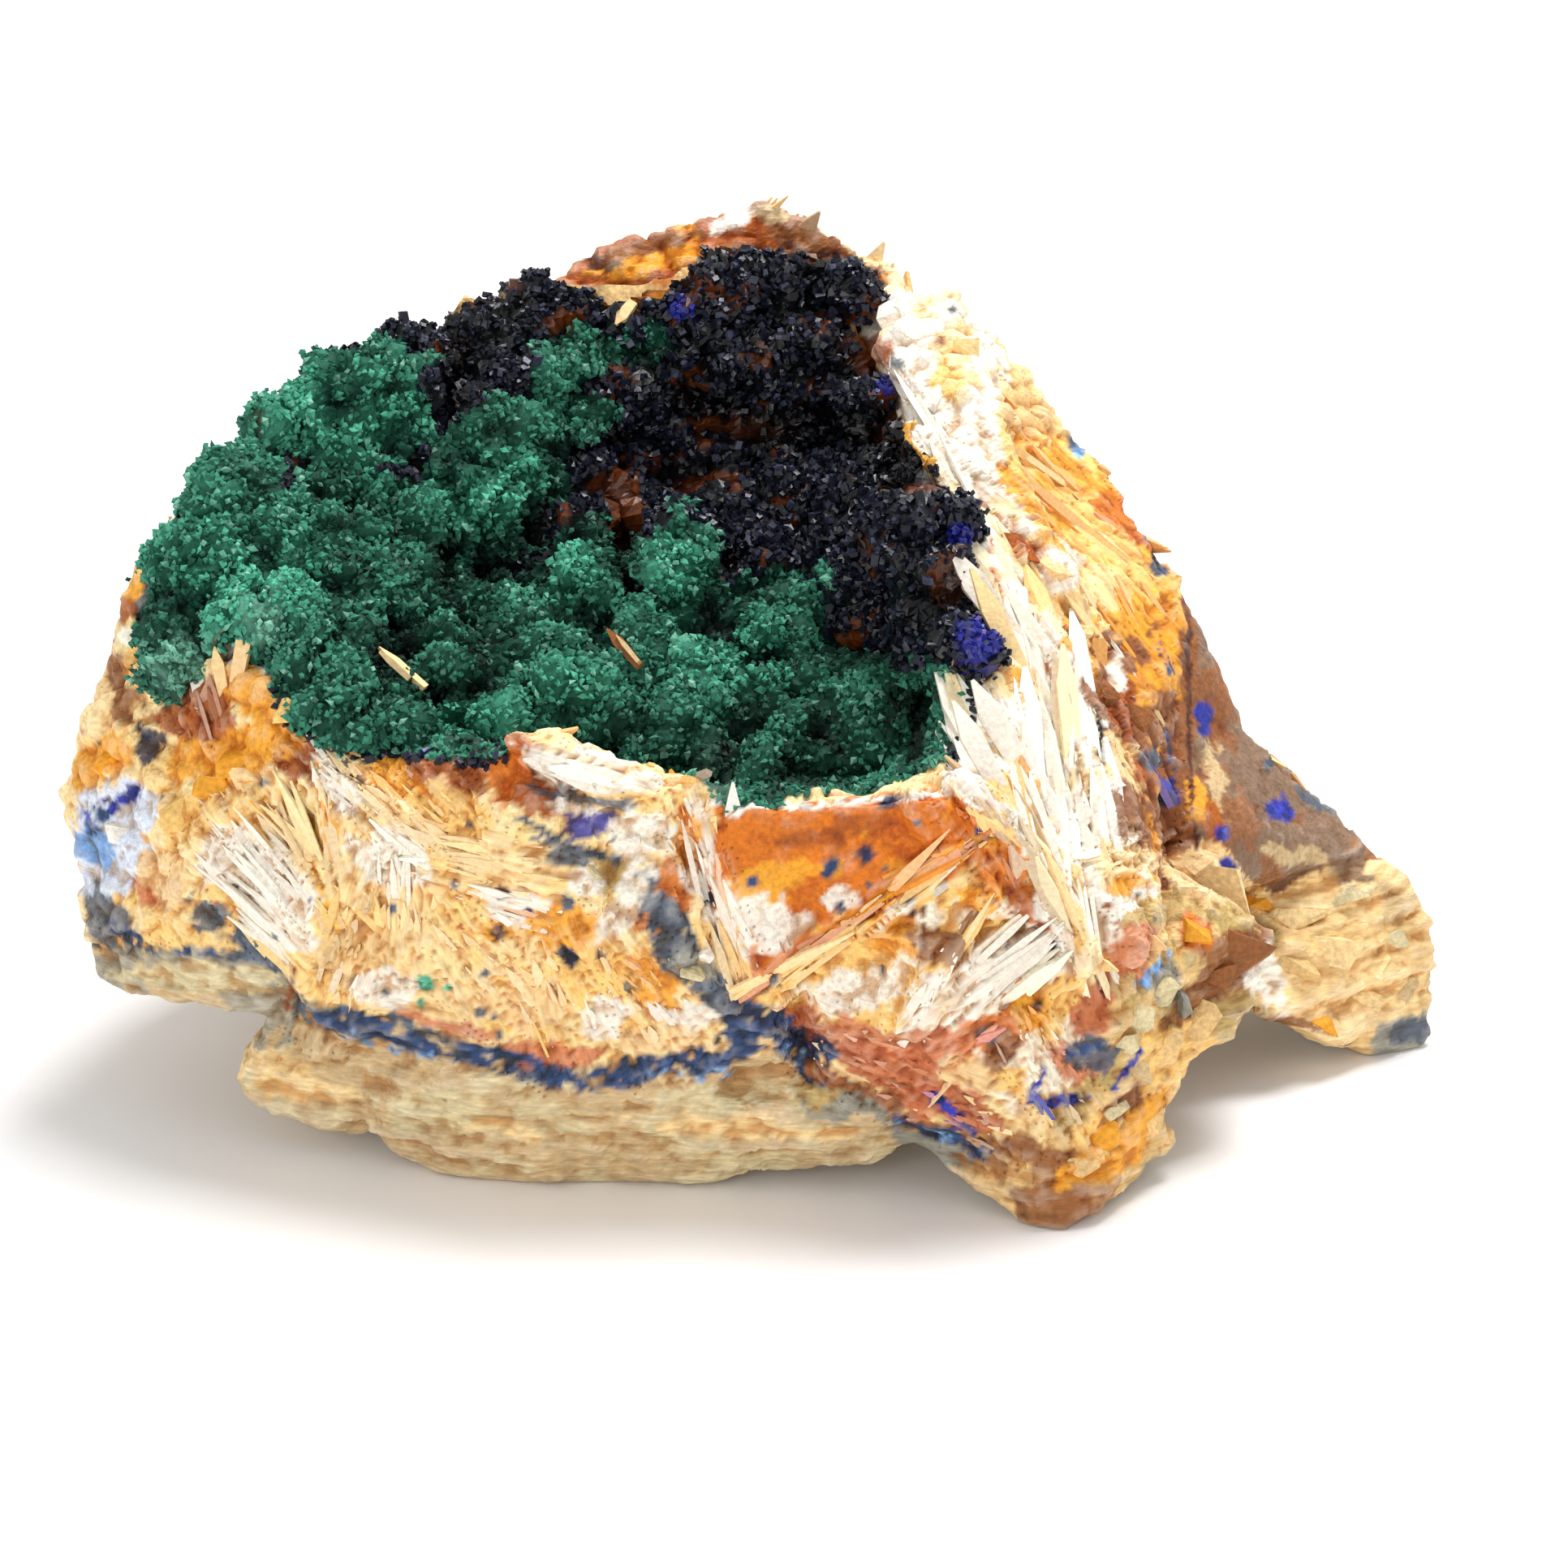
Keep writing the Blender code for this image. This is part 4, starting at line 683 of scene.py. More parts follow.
def mineral(name, roughness, specular, tint, bumps, fine=0.3):
    """Painted colour, lighter and darker by tint in a grain of so many mm, and bumps given as
    (height, size) in mm."""
    material = bpy.data.materials.new(name)
    material.use_nodes = True
    nodes, links = material.node_tree.nodes, material.node_tree.links
    shader = nodes["Principled BSDF"]
    shader.inputs["Roughness"].default_value = roughness
    shader.inputs["Specular IOR Level"].default_value = specular

    def stored(attribute):
        node = nodes.new("ShaderNodeAttribute")
        node.attribute_name = attribute
        return node

    def noise(size):
        node = nodes.new("ShaderNodeTexNoise")
        node.inputs["Scale"].default_value = 1 / size
        node.inputs["Detail"].default_value = 3
        links.new(place.outputs["Vector"], node.inputs["Vector"])
        return node

    paint, place, relief = stored("colour"), stored("grain"), stored("even")
    shade = nodes.new("ShaderNodeMapRange")
    for label, value in (("From Min", 0.3), ("From Max", 0.7), ("To Min", 1 - tint), ("To Max", 1 + tint)):
        shade.inputs[label].default_value = value
    times = nodes.new("ShaderNodeVectorMath")
    times.operation = "SCALE"
    links.new(noise(fine).outputs["Fac"], shade.inputs["Value"])
    links.new(paint.outputs["Color"], times.inputs[0])
    links.new(shade.outputs["Result"], times.inputs["Scale"])
    links.new(times.outputs["Vector"], shader.inputs["Base Color"])
    last = None
    for height, size in bumps:
        bump = nodes.new("ShaderNodeBump")
        bump.inputs["Distance"].default_value = height * MM
        links.new(relief.outputs["Fac"], bump.inputs["Strength"])
        links.new(noise(size).outputs["Fac"], bump.inputs["Height"])
        if last:
            links.new(last.outputs["Normal"], bump.inputs["Normal"])
        last = bump
    links.new(last.outputs["Normal"], shader.inputs["Normal"])
    return material


# Baryte books, blades that lie side by side: start and end in pixels, half width in pixels, number
# of loose blades, their least and greatest length in mm, width in mm, rise of the blades in mm
BOOKS = [
    ((1110, 480), (1180, 600), 16, 10, 3, 6, 0.9, 0.3), ((1178, 668), (1262, 825), 24, 24, 4, 8, 1.8, 0.5),
    ((1215, 660), (1300, 790), 28, 16, 3, 7, 1.7, 0.35),
    ((1205, 815), (1290, 1010), 28, 30, 4, 9, 1.8, 0.5), ((1172, 850), (1259, 990), 22, 24, 4, 8, 1.7, 0.5),
    ((1168, 935), (1298, 1081), 18, 26, 4, 8, 1.5, 0.45),
    ((1262, 790), (1312, 1060), 34, 34, 4, 9, 1.7, 0.35),
    ((1325, 790), (1356, 1098), 28, 20, 3, 8, 1.5, 0.35),
    ((1245, 960), (1335, 1180), 28, 34, 4, 9, 1.4, 0.45),
    ((1320, 1030), (1350, 1210), 24, 24, 3, 7, 0.9, 0.35),
    ((1242, 560), (1400, 676), 44, 16, 3, 7, 1.0, 0.2), ((1300, 660), (1400, 800), 44, 10, 2, 5, 1.0, 0.2),
    ((1345, 1050), (1412, 1030), 40, 36, 1.2, 3, 0.6, 0.4),
    ((1360, 880), (1420, 1000), 26, 16, 2, 5, 0.9, 0.35),
    ((845, 1000), (905, 1195), 24, 44, 2.5, 6, 0.8, 0.35),
    ((1223, 1021), (930, 1222), 14, 36, 5, 11, 0.9, 0.5),
    ((1200, 1135), (1118, 1266), 14, 24, 3, 7, 0.9, 0.5),
    ((1290, 1162), (1155, 1282), 32, 40, 4, 8, 1.1, 0.5),
    ((1180, 1000), (1262, 1120), 22, 12, 2, 5, 0.9, 0.3),
    ((1010, 1280), (1240, 1390), 36, 50, 0.8, 2.2, 0.6, 0.3),
    ((1240, 1250), (1330, 1390), 34, 30, 0.8, 2.4, 0.6, 0.3),
    ((300, 1000), (420, 1150), 34, 60, 2.5, 6, 0.7, 0.4),
    ((250, 1050), (385, 1185), 26, 34, 2.5, 6, 0.7, 0.35),
    ((350, 985), (425, 1165), 14, 24, 3, 7, 0.8, 0.45), ((402, 915), (530, 1040), 36, 50, 2, 5, 0.7, 0.45),
    ((398, 930), (418, 1090), 14, 24, 2.5, 6, 0.7, 0.45),
    ((470, 925), (560, 1010), 34, 24, 1.5, 3.5, 0.7, 0.35),
    ((520, 1030), (680, 1070), 22, 36, 2, 5, 0.6, 0.35),
    ((530, 1080), (670, 1120), 26, 26, 2, 5, 0.6, 0.35),
    ((495, 1065), (500, 1185), 26, 24, 1.8, 4, 0.7, 0.35),
    ((560, 1125), (640, 1225), 50, 22, 1.2, 3, 0.7, 0.3),
    ((440, 1120), (400, 1240), 40, 22, 1.2, 3.2, 0.8, 0.3),
    ((660, 1160), (700, 1280), 50, 22, 1.2, 3.2, 0.7, 0.3),
    ((770, 1190), (830, 1280), 44, 20, 1.2, 3, 0.8, 0.3),
    ((235, 810), (258, 888), 24, 24, 1.8, 4, 0.8, 0.45),
    ((300, 760), (250, 850), 18, 20, 1.8, 4, 0.9, 0.45), ((645, 925), (795, 968), 14, 10, 3, 6, 1.3, 0.4),
]


BOOK_APART = 31.3  # keeps the noise of one book apart from the next one's
HIDDEN_BOOK_SIZE = 10  # mm
THICKEST = 0.45  # mm, of a loose blade
LUMP_SIZE = 1.5  # mm


def book_axes(start, end):
    """The first end of a book and the directions along and across it, in pixels."""
    a, b = np.array(start, float), np.array(end, float)
    along = (b - a) / np.linalg.norm(b - a)
    return a, along, np.array([-along[1], along[0]])


def hidden_books(points):
    """The books of blades on the sides that the photograph does not show: which way the blades of
    each book run, the share of a book there, as some of the stone between is lumpy, and the book's
    number."""
    _, _, number = cells(swayed(points, points, 1.5, 5, (200, 203, 206)) / HIDDEN_BOOK_SIZE, 210)
    turn, rise = number * 44, (number * 13.7) % 1 * 1.6 - 0.8
    flat = np.sqrt(1 - rise ** 2)
    ways = np.stack([np.cos(turn) * flat, np.sin(turn) * flat, rise], axis=1)
    share = smoothstep(0.35, 0.4, number) * smoothstep(9, 15, points[:, 2])
    return ways, share, number


# Areas of rounded lumps: the white shoulder, the stained lumps under it and the left lobe
LUMPY_AREAS = [
    [
        (1060, 420), (1085, 330), (1180, 320), (1260, 430), (1320, 540), (1250, 560), (1190, 590),
        (1110, 470),
    ],
    [(1230, 640), (1280, 640), (1340, 740), (1380, 800), (1330, 780), (1260, 700)],
    [(660, 400), (680, 290), (938, 230), (1090, 340), (1050, 400), (860, 380)],
    [(60, 880), (230, 900), (340, 960), (300, 1060), (180, 1150), (90, 1160)],
    [(220, 800), (340, 830), (400, 900), (330, 960), (230, 930)],
    [(560, 900), (690, 920), (700, 1000), (600, 1010)],
    [(690, 1030), (860, 1040), (860, 1200), (780, 1180)],
]
# Areas without blades or broken faces: the stained front face and the weathered right side
SMOOTH_AREAS = [
    [(900, 1000), (1180, 990), (1240, 1030), (1140, 1110), (930, 1220), (860, 1060)],
    [(1440, 640), (1520, 740), (1540, 860), (1620, 950), (1730, 1050), (1550, 1105), (1478, 1050)],
]


def book_relief(points, uv, bent, depth, seen):
    """Heights of the blades of the books in the photograph, the share of cracks between them, the
    share that they cover, and places stretched along them."""
    nearest, beyond = np.full(len(points), 1e9), np.full(len(points), 1e9)
    local, lengthwise = np.zeros((len(points), 3)), np.zeros((len(points), 3))
    strength = np.zeros(len(points))
    for number, (start, end, half, _, _, longest, wide, rise) in enumerate(BOOKS):
        gap, share = line_share(bent, start, end)
        gap = gap / half
        closer = gap < nearest
        beyond = np.where(closer, nearest, np.minimum(beyond, gap))
        nearest = np.where(closer, gap, nearest)
        a, along, aside = book_axes(start, end)
        relative = (uv - a) / PIXELS_PER_MM
        s, t = relative @ along, relative @ aside / (0.8 + 0.4 * share)
        place = np.stack([s / (0.8 * longest), t / (0.8 * wide), depth / (2.5 * wide)], axis=1)
        local[closer] = place[closer] + BOOK_APART * number
        stretched = np.stack([s / 9, t / 0.8, depth / 1.6], axis=1)
        lengthwise[closer] = stretched[closer] + BOOK_APART * number
        strength = np.where(closer, rise, strength)
    cover = smoothstep(1.9, 1.1, nearest) * seen
    border = smoothstep(0.0, 0.35, beyond - nearest)
    first, second, number = cells(local, 90)
    blades = (number - 0.5) * 1.3 + 0.5 * smoothstep(0, 0.25, second - first) - 0.2
    height = blades * strength * 0.9 * cover * (0.2 + 0.8 * border)
    return height, smoothstep(0.16, 0.02, second - first) * cover * border, cover, lengthwise


def hidden_relief(points, seen):
    """The same four for the books of the hidden sides."""
    ways, share, number = hidden_books(points)
    along = (points * ways).sum(axis=1)[:, None]
    lengthwise = points - along * ways + along * ways / 6 + 17 * number[:, None]
    first, second, number = cells(lengthwise, 213)
    cover = share * (1 - seen)
    blades = (number - 0.5) * 1.1 + 0.4 * smoothstep(0, 0.25, second - first) - 0.2
    return 0.55 * blades * cover, smoothstep(0.14, 0.02, second - first) * cover, cover, lengthwise


def stone_relief(points, bent, seen, cover):
    """Heights of broken faces, lumps, the base's layers and grain, and the share of layers."""
    shifted = swayed(points, points, 0.5, 3, (95, 96, 97))
    broken = 0.5 * facets(shifted, 3.0, 97) + 0.6 * facets(shifted, 1.4, 107)
    broken += 0.45 * facets(points, 0.8, 127)
    smooth, lumpy = (
        np.any([inside(bent, corners) for corners in areas], axis=0) * seen
        for areas in (SMOOTH_AREAS, LUMPY_AREAS)
    )
    layered = smoothstep(16, 11, points[:, 2] + 2 * fractal(points, 8, 2, 113)) * (1 - cover)
    height = broken * (1 - 0.7 * cover) * (1 - 0.75 * np.maximum(smooth, lumpy)) * (1 - 0.75 * layered)
    height += 0.6 * layered * facets(shifted * np.array([0.3, 0.3, 1.0]), 1.5, 140)
    first, _, number = cells(points / LUMP_SIZE, 115)
    height += lumpy * (0.55 * (1 - 1.5 * first ** 2) * (0.5 + number) - 0.1)
    layers = fractal(points * np.array([0.25, 0.25, 1.0]), 1.1, 3, 118)
    height += 0.3 * layered * np.sign(layers) * np.abs(layers) ** 0.6
    height += 0.35 * fractal(points, 5, 3, 100) + 0.14 * fractal(points, 1.1, 3, 105) * (1 - 0.4 * smooth)
    first, _, _ = cells(points / 0.7, 110)
    height += 0.08 * (0.5 - first) * (1 + lumpy)
    return height, layered


def shape_rock(rock):
    """Works books of blades, layers, lumps and grain into the rock's skin. Returns the share of
    cracks between the blades, and places stretched along blades and layers for the fine grain."""
    relax(rock.data, ROCK_SMOOTHING)
    points, normals = points_of(rock.data)
    uv, depth = to_picture(points)
    seen = smoothstep(-0.2, 0.15, -normals @ VIEW_AHEAD)
    bent = swayed(uv, points, 12, 2.5, (80, 83))
    height, crack, cover, lengthwise = book_relief(points, uv, bent, depth, seen)
    back_height, back_crack, back_cover, back_lengthwise = hidden_relief(points, seen)
    cover = np.maximum(cover, back_cover)
    stone_height, layered = stone_relief(points, bent, seen, cover)
    height = (height + back_height + stone_height) * smoothstep(0.0, 0.8, points[:, 2])
    points = points + normals * height[:, None]
    points[:, 2] = np.maximum(points[:, 2], 0)
    move_points(rock.data, points)
    lengthwise = np.where((back_cover > 0.5)[:, None], back_lengthwise, lengthwise)
    grain = np.where((layered > 0.5)[:, None], points / np.array([3.0, 3.0, 0.8]), points)
    grain = np.where((cover > 0.5)[:, None], lengthwise, grain)
    return crack + back_crack, grain


BLADE_STATIONS = ((0.0, 0.15), (0.35, 1.0), (1.0, 0.8))  # share of length, of width
BLADE_CORNERS = 4 * len(BLADE_STATIONS)


def blade_points(start, end, out, wide, thick):
    """The corners of one tapering blade."""
    along = end - start
    along /= np.linalg.norm(along)
    across = np.cross(out, along)
    across /= np.linalg.norm(across)
    out = np.cross(along, across)
    corners = []
    for share, part in BLADE_STATIONS:
        centre = start + (end - start) * share
        for x, y in ((-1, -1), (1, -1), (1, 1), (-1, 1)):
            half_thick = thick * (0.4 + 0.6 * part) / 2
            corners.append(centre + across * (x * wide * part / 2) + out * (y * half_thick))
    return corners


def join_blades(name, corners, colours):
    """Blades as one piece, from all their corners and a colour each."""
    one = [(0, 1, 2, 3), (11, 10, 9, 8)]
    for ring in (0, 4):
        for i in range(4):
            j = (i + 1) % 4
            one.append((ring + i, ring + 4 + i, ring + 4 + j, ring + j))
    faces = [tuple(BLADE_CORNERS * n + k for k in face) for n in range(len(colours)) for face in one]
    return new_thing(name, np.array(corners), faces, np.repeat(colours, BLADE_CORNERS, axis=0))


def lay_blade(rock_tree, crust_trees, book):
    """One loose blade of a book on the rock: its corners, middle and outward direction. None where
    it would hang over a gap or lie under the crust."""
    start, end, half, _, shortest, longest, wide, rise = book
    a, along, aside = book_axes(start, end)
    middle = a + (np.array(end) - a) * chance.uniform(0, 1) + aside * half * chance.normal(0, 0.6)
    angle = chance.normal(0, 0.06)
    way = along * math.cos(angle) + aside * math.sin(angle)
    length = chance.uniform(shortest, longest)
    reach = way * length * PIXELS_PER_MM / 2
    from_place, from_normal = cast(rock_tree, *(middle - reach))
    to_place, to_normal = cast(rock_tree, *(middle + reach))
    if from_place is None or to_place is None or (to_place - from_place).length > 2.2 * length:
        return None
    eye = Vector(EYE)
    for tree in crust_trees:
        hit, _ = cast(tree, *middle)
        if hit and (hit - eye).length < (from_place - eye).length + 1:
            return None
    out = np.array((from_normal + to_normal).normalized())
    out = out + np.cross(out, np.array(to_place - from_place)) * chance.normal(0, 0.05)
    out /= np.linalg.norm(out)
    size = wide * chance.uniform(0.3, 0.9)
    thick = min(THICKEST, size * chance.uniform(0.3, 0.6))
    tip = np.array(from_place) + out * rise * chance.uniform(-0.3, 0.6)
    root = np.array(to_place) - out * (thick + rise * chance.uniform(0.0, 0.8))
    return blade_points(tip, root, out, size, thick), (tip + root) / 2, out


def make_blades(rock_tree, crust_trees):
    """Loose blades of baryte, which take the colour of the place that they lie on."""
    tried = [lay_blade(rock_tree, crust_trees, book) for book in BOOKS for _ in range(book[3])]
    corners, middles, outs = (np.array(part) for part in zip(*(blade for blade in tried if blade)))
    colours = np.maximum(paint_rock(middles, outs), paint_rock(middles + np.array([0.6, 0, 0]), outs))
    colours = mix(colours, COLOURS["white"], chance.uniform(0.0, 0.3, len(middles)))
    colours = np.clip(colours * chance.uniform(0.9, 1.06, (len(middles), 1)), 0, BRIGHTEST)
    return join_blades("baryte_blades", corners.reshape(-1, 3), colours)


def make_hidden_blades(rock):
    """Loose blades on the sides that the photograph does not show."""
    points, normals = points_of(rock.data)
    hidden = np.flatnonzero((normals @ VIEW_AHEAD > 0.4) & (normals[:, 2] < 0.7) & (points[:, 2] > 9))
    hidden = chance.choice(hidden, size=HIDDEN_BLADES, replace=False)
    places, outs = points[hidden], normals[hidden]
    ways, share, _ = hidden_books(places)
    ways = ways - (ways * outs).sum(axis=1)[:, None] * outs
    reach = np.linalg.norm(ways, axis=1)
    kept = (share > 0.5) & (reach > 0.5)
    places, outs, ways = places[kept], outs[kept], ways[kept] / reach[kept, None]
    corners = []
    for place, out, way in zip(places, outs, ways):
        size = chance.uniform(0.35, 1.2)
        thick = min(THICKEST, size * chance.uniform(0.3, 0.6))
        half = chance.uniform(0.6, 2.2)
        tip = place + way * half + out * chance.uniform(-0.2, 0.1)
        root = place - way * half - out * (thick + chance.uniform(0.1, 0.5))
        corners.extend(blade_points(tip, root, out, size, thick))
    colours = mix(paint_rock(places, outs), COLOURS["cream"], chance.uniform(0.2, 0.7, len(places)))
    colours = np.clip(colours * chance.uniform(0.9, 1.06, (len(places), 1)), 0, BRIGHTEST)
    return join_blades("hidden_blades", corners, colours)


# Crusts

BOX_HALF, PYRAMID_HALF = 0.62, 0.95  # of the size given for a crystal


def block():
    """A box."""
    corners = np.array(list(itertools.product((-1, 1), repeat=3))) * BOX_HALF
    faces = [
        (0, 1, 3), (0, 3, 2), (4, 6, 7), (4, 7, 5), (0, 4, 5), (0, 5, 1),
        (2, 3, 7), (2, 7, 6), (0, 2, 6), (0, 6, 4), (1, 5, 7), (1, 7, 3),
    ]
    return corners, faces


def grain_shape():
    """A double pyramid."""
    tips = [(1, 0, 0), (-1, 0, 0), (0, 1, 0), (0, -1, 0), (0, 0, 1), (0, 0, -1)]
    faces = [(0, 2, 4), (2, 1, 4), (1, 3, 4), (3, 0, 4), (2, 0, 5), (1, 2, 5), (3, 1, 5), (0, 3, 5)]
    return np.array(tips) * PYRAMID_HALF, faces


def random_turns(count):
    """Random rotation matrices."""
    q = chance.normal(size=(count, 4))
    q /= np.linalg.norm(q, axis=1)[:, None]
    w, x, y, z = q.T
    return np.stack([
        np.stack([1 - 2 * (y * y + z * z), 2 * (x * y - z * w), 2 * (x * z + y * w)], axis=1),
        np.stack([2 * (x * y + z * w), 1 - 2 * (x * x + z * z), 2 * (y * z - x * w)], axis=1),
        np.stack([2 * (x * z - y * w), 2 * (y * z + x * w), 1 - 2 * (x * x + y * y)], axis=1),
    ], axis=1)


def scatter(name, shape, places, sizes, stretch, jitter, colours):
    """Many small turned copies of a shape, joined in one mesh."""
    corners, faces = shape
    count = len(places)
    local = corners[None] * (1 + chance.normal(0, jitter, (count, len(corners), 3)))
    local = local * stretch[:, None] * sizes[:, None, None]
    local = np.einsum("nij,nkj->nki", random_turns(count), local) + places[:, None]
    step = len(corners)
    joined = [tuple(n * step + k for k in face) for n in range(count) for face in faces]
    return new_thing(name, local.reshape(-1, 3), joined, np.repeat(colours, step, axis=0))


# deep and light are the green with painted shade and with painted light; mint is a pale mint, also used for
# painted glints
MALACHITE = {
    "deep": linear((3, 18, 14)), "mid": linear((17, 64, 49)), "light": linear((60, 130, 106)),
    "mint": linear((150, 205, 180)),
}
# mid is the azurite's own dark blue; deep is it with painted shade, light the colour of its painted glints,
# blue the bright blue azurite
AZURITE = {
    "deep": linear((4, 5, 8)), "mid": linear((17, 20, 36)), "light": linear((66, 70, 92)),
    "blue": linear((36, 40, 140)),
}
# Where bright blue azurite grows: middle, radius
BLUE_PATCHES = [
    (1205, 788, 26), (1238, 850, 12), (1182, 662, 14), (1092, 478, 12), (842, 380, 16), (535, 912, 16),
]
# Where the green crust is painted lighter, as light falls on its upper faces, and where it is a pale mint:
# middle, half width, half height
LIT_GREEN = [
    (260, 700, 90, 100), (430, 510, 110, 80), (600, 590, 80, 60), (700, 700, 40, 50), (835, 700, 34, 50),
    (900, 800, 90, 50), (570, 880, 60, 30), (700, 850, 60, 40), (360, 700, 50, 60),
]
MINT = [(225, 820, 44, 44), (330, 770, 24, 26), (885, 955, 24, 40), (1165, 955, 26, 24)]
# Pits between the crusts' heads, sunk and darkened with painted shade: middle, half width, half height
SHADED_PITS = [
    (1010, 528, 130, 30), (1108, 566, 40, 46), (870, 500, 60, 24), (1180, 720, 24, 30), (618, 702, 46, 20),
    (660, 650, 26, 40), (770, 690, 20, 46), (545, 690, 20, 40), (510, 770, 70, 10), (600, 850, 26, 14),
    (1060, 810, 60, 12), (470, 800, 20, 20), (545, 850, 40, 16), (900, 700, 22, 22), (1130, 900, 14, 60),
    (420, 640, 40, 12), (560, 470, 20, 60), (690, 560, 40, 20), (740, 770, 30, 12), (980, 950, 40, 20),
]
# Where rusty rock shows between the azurite: middle, half width, half height
BARE_PATCHES = [
    (768, 640, 30, 60), (960, 770, 70, 26), (1178, 722, 30, 34), (1080, 440, 26, 30), (860, 600, 60, 14),
    (900, 520, 60, 12), (1125, 605, 44, 16), (1040, 790, 30, 16), (700, 400, 30, 20), (940, 530, 40, 10),
]


# The green areas and the whole crust, in pixels
GREEN_AREAS = [
    [
        (330, 560), (345, 520), (370, 490), (375, 455), (400, 442), (450, 432), (490, 440), (500, 455),
        (530, 445), (540, 455), (515, 480), (522, 500), (520, 540), (500, 580), (440, 590), (390, 572),
        (350, 578),
    ],
    [
        (180, 720), (215, 670), (240, 605), (290, 595), (330, 618), (360, 598), (400, 572), (450, 580),
        (490, 600), (520, 600), (540, 560), (570, 530), (610, 498), (650, 495), (660, 440), (700, 415),
        (760, 415), (820, 395), (838, 425), (800, 447), (740, 458), (690, 487), (735, 488), (748, 510),
        (700, 548), (690, 590), (702, 615), (660, 640), (650, 690), (620, 712), (640, 730), (662, 690),
        (690, 650), (720, 638), (752, 665), (757, 720), (770, 757), (798, 748), (795, 700), (830, 648),
        (868, 665), (872, 700), (895, 735), (910, 715), (960, 702), (1000, 712), (1045, 685), (1052, 720),
        (1022, 760), (1060, 797), (1120, 807), (1200, 825), (1200, 860), (1180, 900), (1165, 960),
        (1110, 990), (960, 1010), (870, 1005), (800, 955), (640, 925), (540, 935), (430, 925), (350, 880),
        (325, 780), (290, 765), (240, 790), (230, 830), (200, 865), (170, 800),
    ],
]
CRUST_AREAS = [
    [
        (178, 735), (212, 655), (238, 590), (300, 545), (300, 380), (520, 400), (560, 385), (620, 362),
        (660, 350), (700, 362), (740, 378), (780, 372), (850, 352), (868, 322), (900, 314), (955, 332),
        (990, 314), (1050, 336), (1082, 350), (1060, 380), (1045, 410), (1092, 470), (1112, 520),
        (1142, 580), (1205, 640), (1216, 662), (1200, 700), (1222, 770), (1230, 820), (1205, 850),
        (1185, 930), (1165, 992), (960, 1024), (860, 1020), (640, 940), (430, 935), (350, 890), (322, 795),
        (290, 775), (248, 800), (236, 840), (205, 872), (172, 810),
    ],
]


EDGE_SWAY = 8  # pixels
ALL_GREEN_END = 330  # pixels; the crust is green left of it


def in_areas(points, areas, seed):
    """Whether places lie in areas of the photograph, with ragged edges."""
    uv = swayed(to_picture(points)[0], points, EDGE_SWAY, 1.2, (seed, seed + 2))
    return np.any([inside(uv, corners) for corners in areas], axis=0)


def on_crust(points):
    return in_areas(points, CRUST_AREAS, 174)


def is_green(points):
    """Whether a place of the crust is malachite: all of it at the left, named areas elsewhere."""
    return in_areas(points, GREEN_AREAS, 170) | (to_picture(points)[0][:, 0] < ALL_GREEN_END)


def shaded_pit_share(points):
    """How deep in one of the crust's pits each place lies, from 0 to 1. The pits are sunk and darkened with
    painted shade.
    """
    return oval_share(swayed(to_picture(points)[0], points, 14, 1.8, (180, 182)), SHADED_PITS, 1.25, 0.6)


def malachite_colours(points, stands):
    """Green with painted shade in the hollows and pits and painted light where the crust stands up and in
    the lit places, and mint in the mint places.
    """
    uv, _ = to_picture(points)
    colours = np.tile(MALACHITE["deep"], (len(points), 1))
    # painted shade in the hollows, painted light where the crust stands up
    colours = mix(colours, MALACHITE["mid"], smoothstep(0.1, 0.5, stands))
    colours = mix(colours, MALACHITE["light"], smoothstep(0.45, 0.95, stands))
    # painted light in the lit places
    colours = mix(colours, colours * 1.8, oval_share(uv, LIT_GREEN, 1.3, 0.5))
    # mint, strongest where the crust stands up, as painted light
    colours = mix(colours, MALACHITE["mint"], 0.35 * oval_share(uv, MINT, 1.3, 0.5) * stands)
    # painted shade in the pits
    return colours * (1 - 0.8 * shaded_pit_share(points))[:, None]


def bare_share(points):
    """How bare of azurite each place is, from 0 to 1."""
    return oval_share(swayed(to_picture(points)[0], points, 10, 1.6, (120, 123)), BARE_PATCHES, 1.1, 0.8)


def azurite_colours(points, stands):
    """Dark blue, with painted shade in the hollows and pits and painted light where the crust stands up,
    and bright in the blue patches.
    """
    colours = np.tile(AZURITE["deep"], (len(points), 1))
    # painted light where the crust stands up
    colours = mix(colours, AZURITE["mid"], smoothstep(0.2, 0.9, stands))
    # painted shade in the pits
    colours = colours * (1 - 0.8 * shaded_pit_share(points))[:, None]
    uv, _ = to_picture(points)
    for u, v, radius in BLUE_PATCHES:
        reach = np.hypot(uv[:, 0] - u, uv[:, 1] - v) / radius
        colours = mix(colours, AZURITE["blue"], 0.9 * smoothstep(1.2, 0.8, reach))
    return colours


# The heads of the crusts: height of the green and of the blue ones and size in mm, seed
HEADS = ((1.3, 0.7, 3.8, 130), (1.0, 1.2, 1.8, 134), (0.6, 0.4, 0.9, 138), (0.2, 0.1, 0.5, 144))
PIT_DEPTH, BED_SINK = 1.3, 0.8  # mm, the bed sinks where no crust shows in the photograph
BARE, GREEN, BLUE = 0, 1, 2
OUTER_REACH, INNER_REACH = 6.0, 2.5  # mm from the crust to the rock's own crystals
CLEAR_OF_SKIN = 0.2  # mm, where the look for a crust above starts
INNER_SLOPE_END = -5.0  # mm, how far back the slope inside the front rim goes
FRINGE_SKY = Vector((0, -0.35, 0.94))  # the way in which no crust may lie over the rock's own


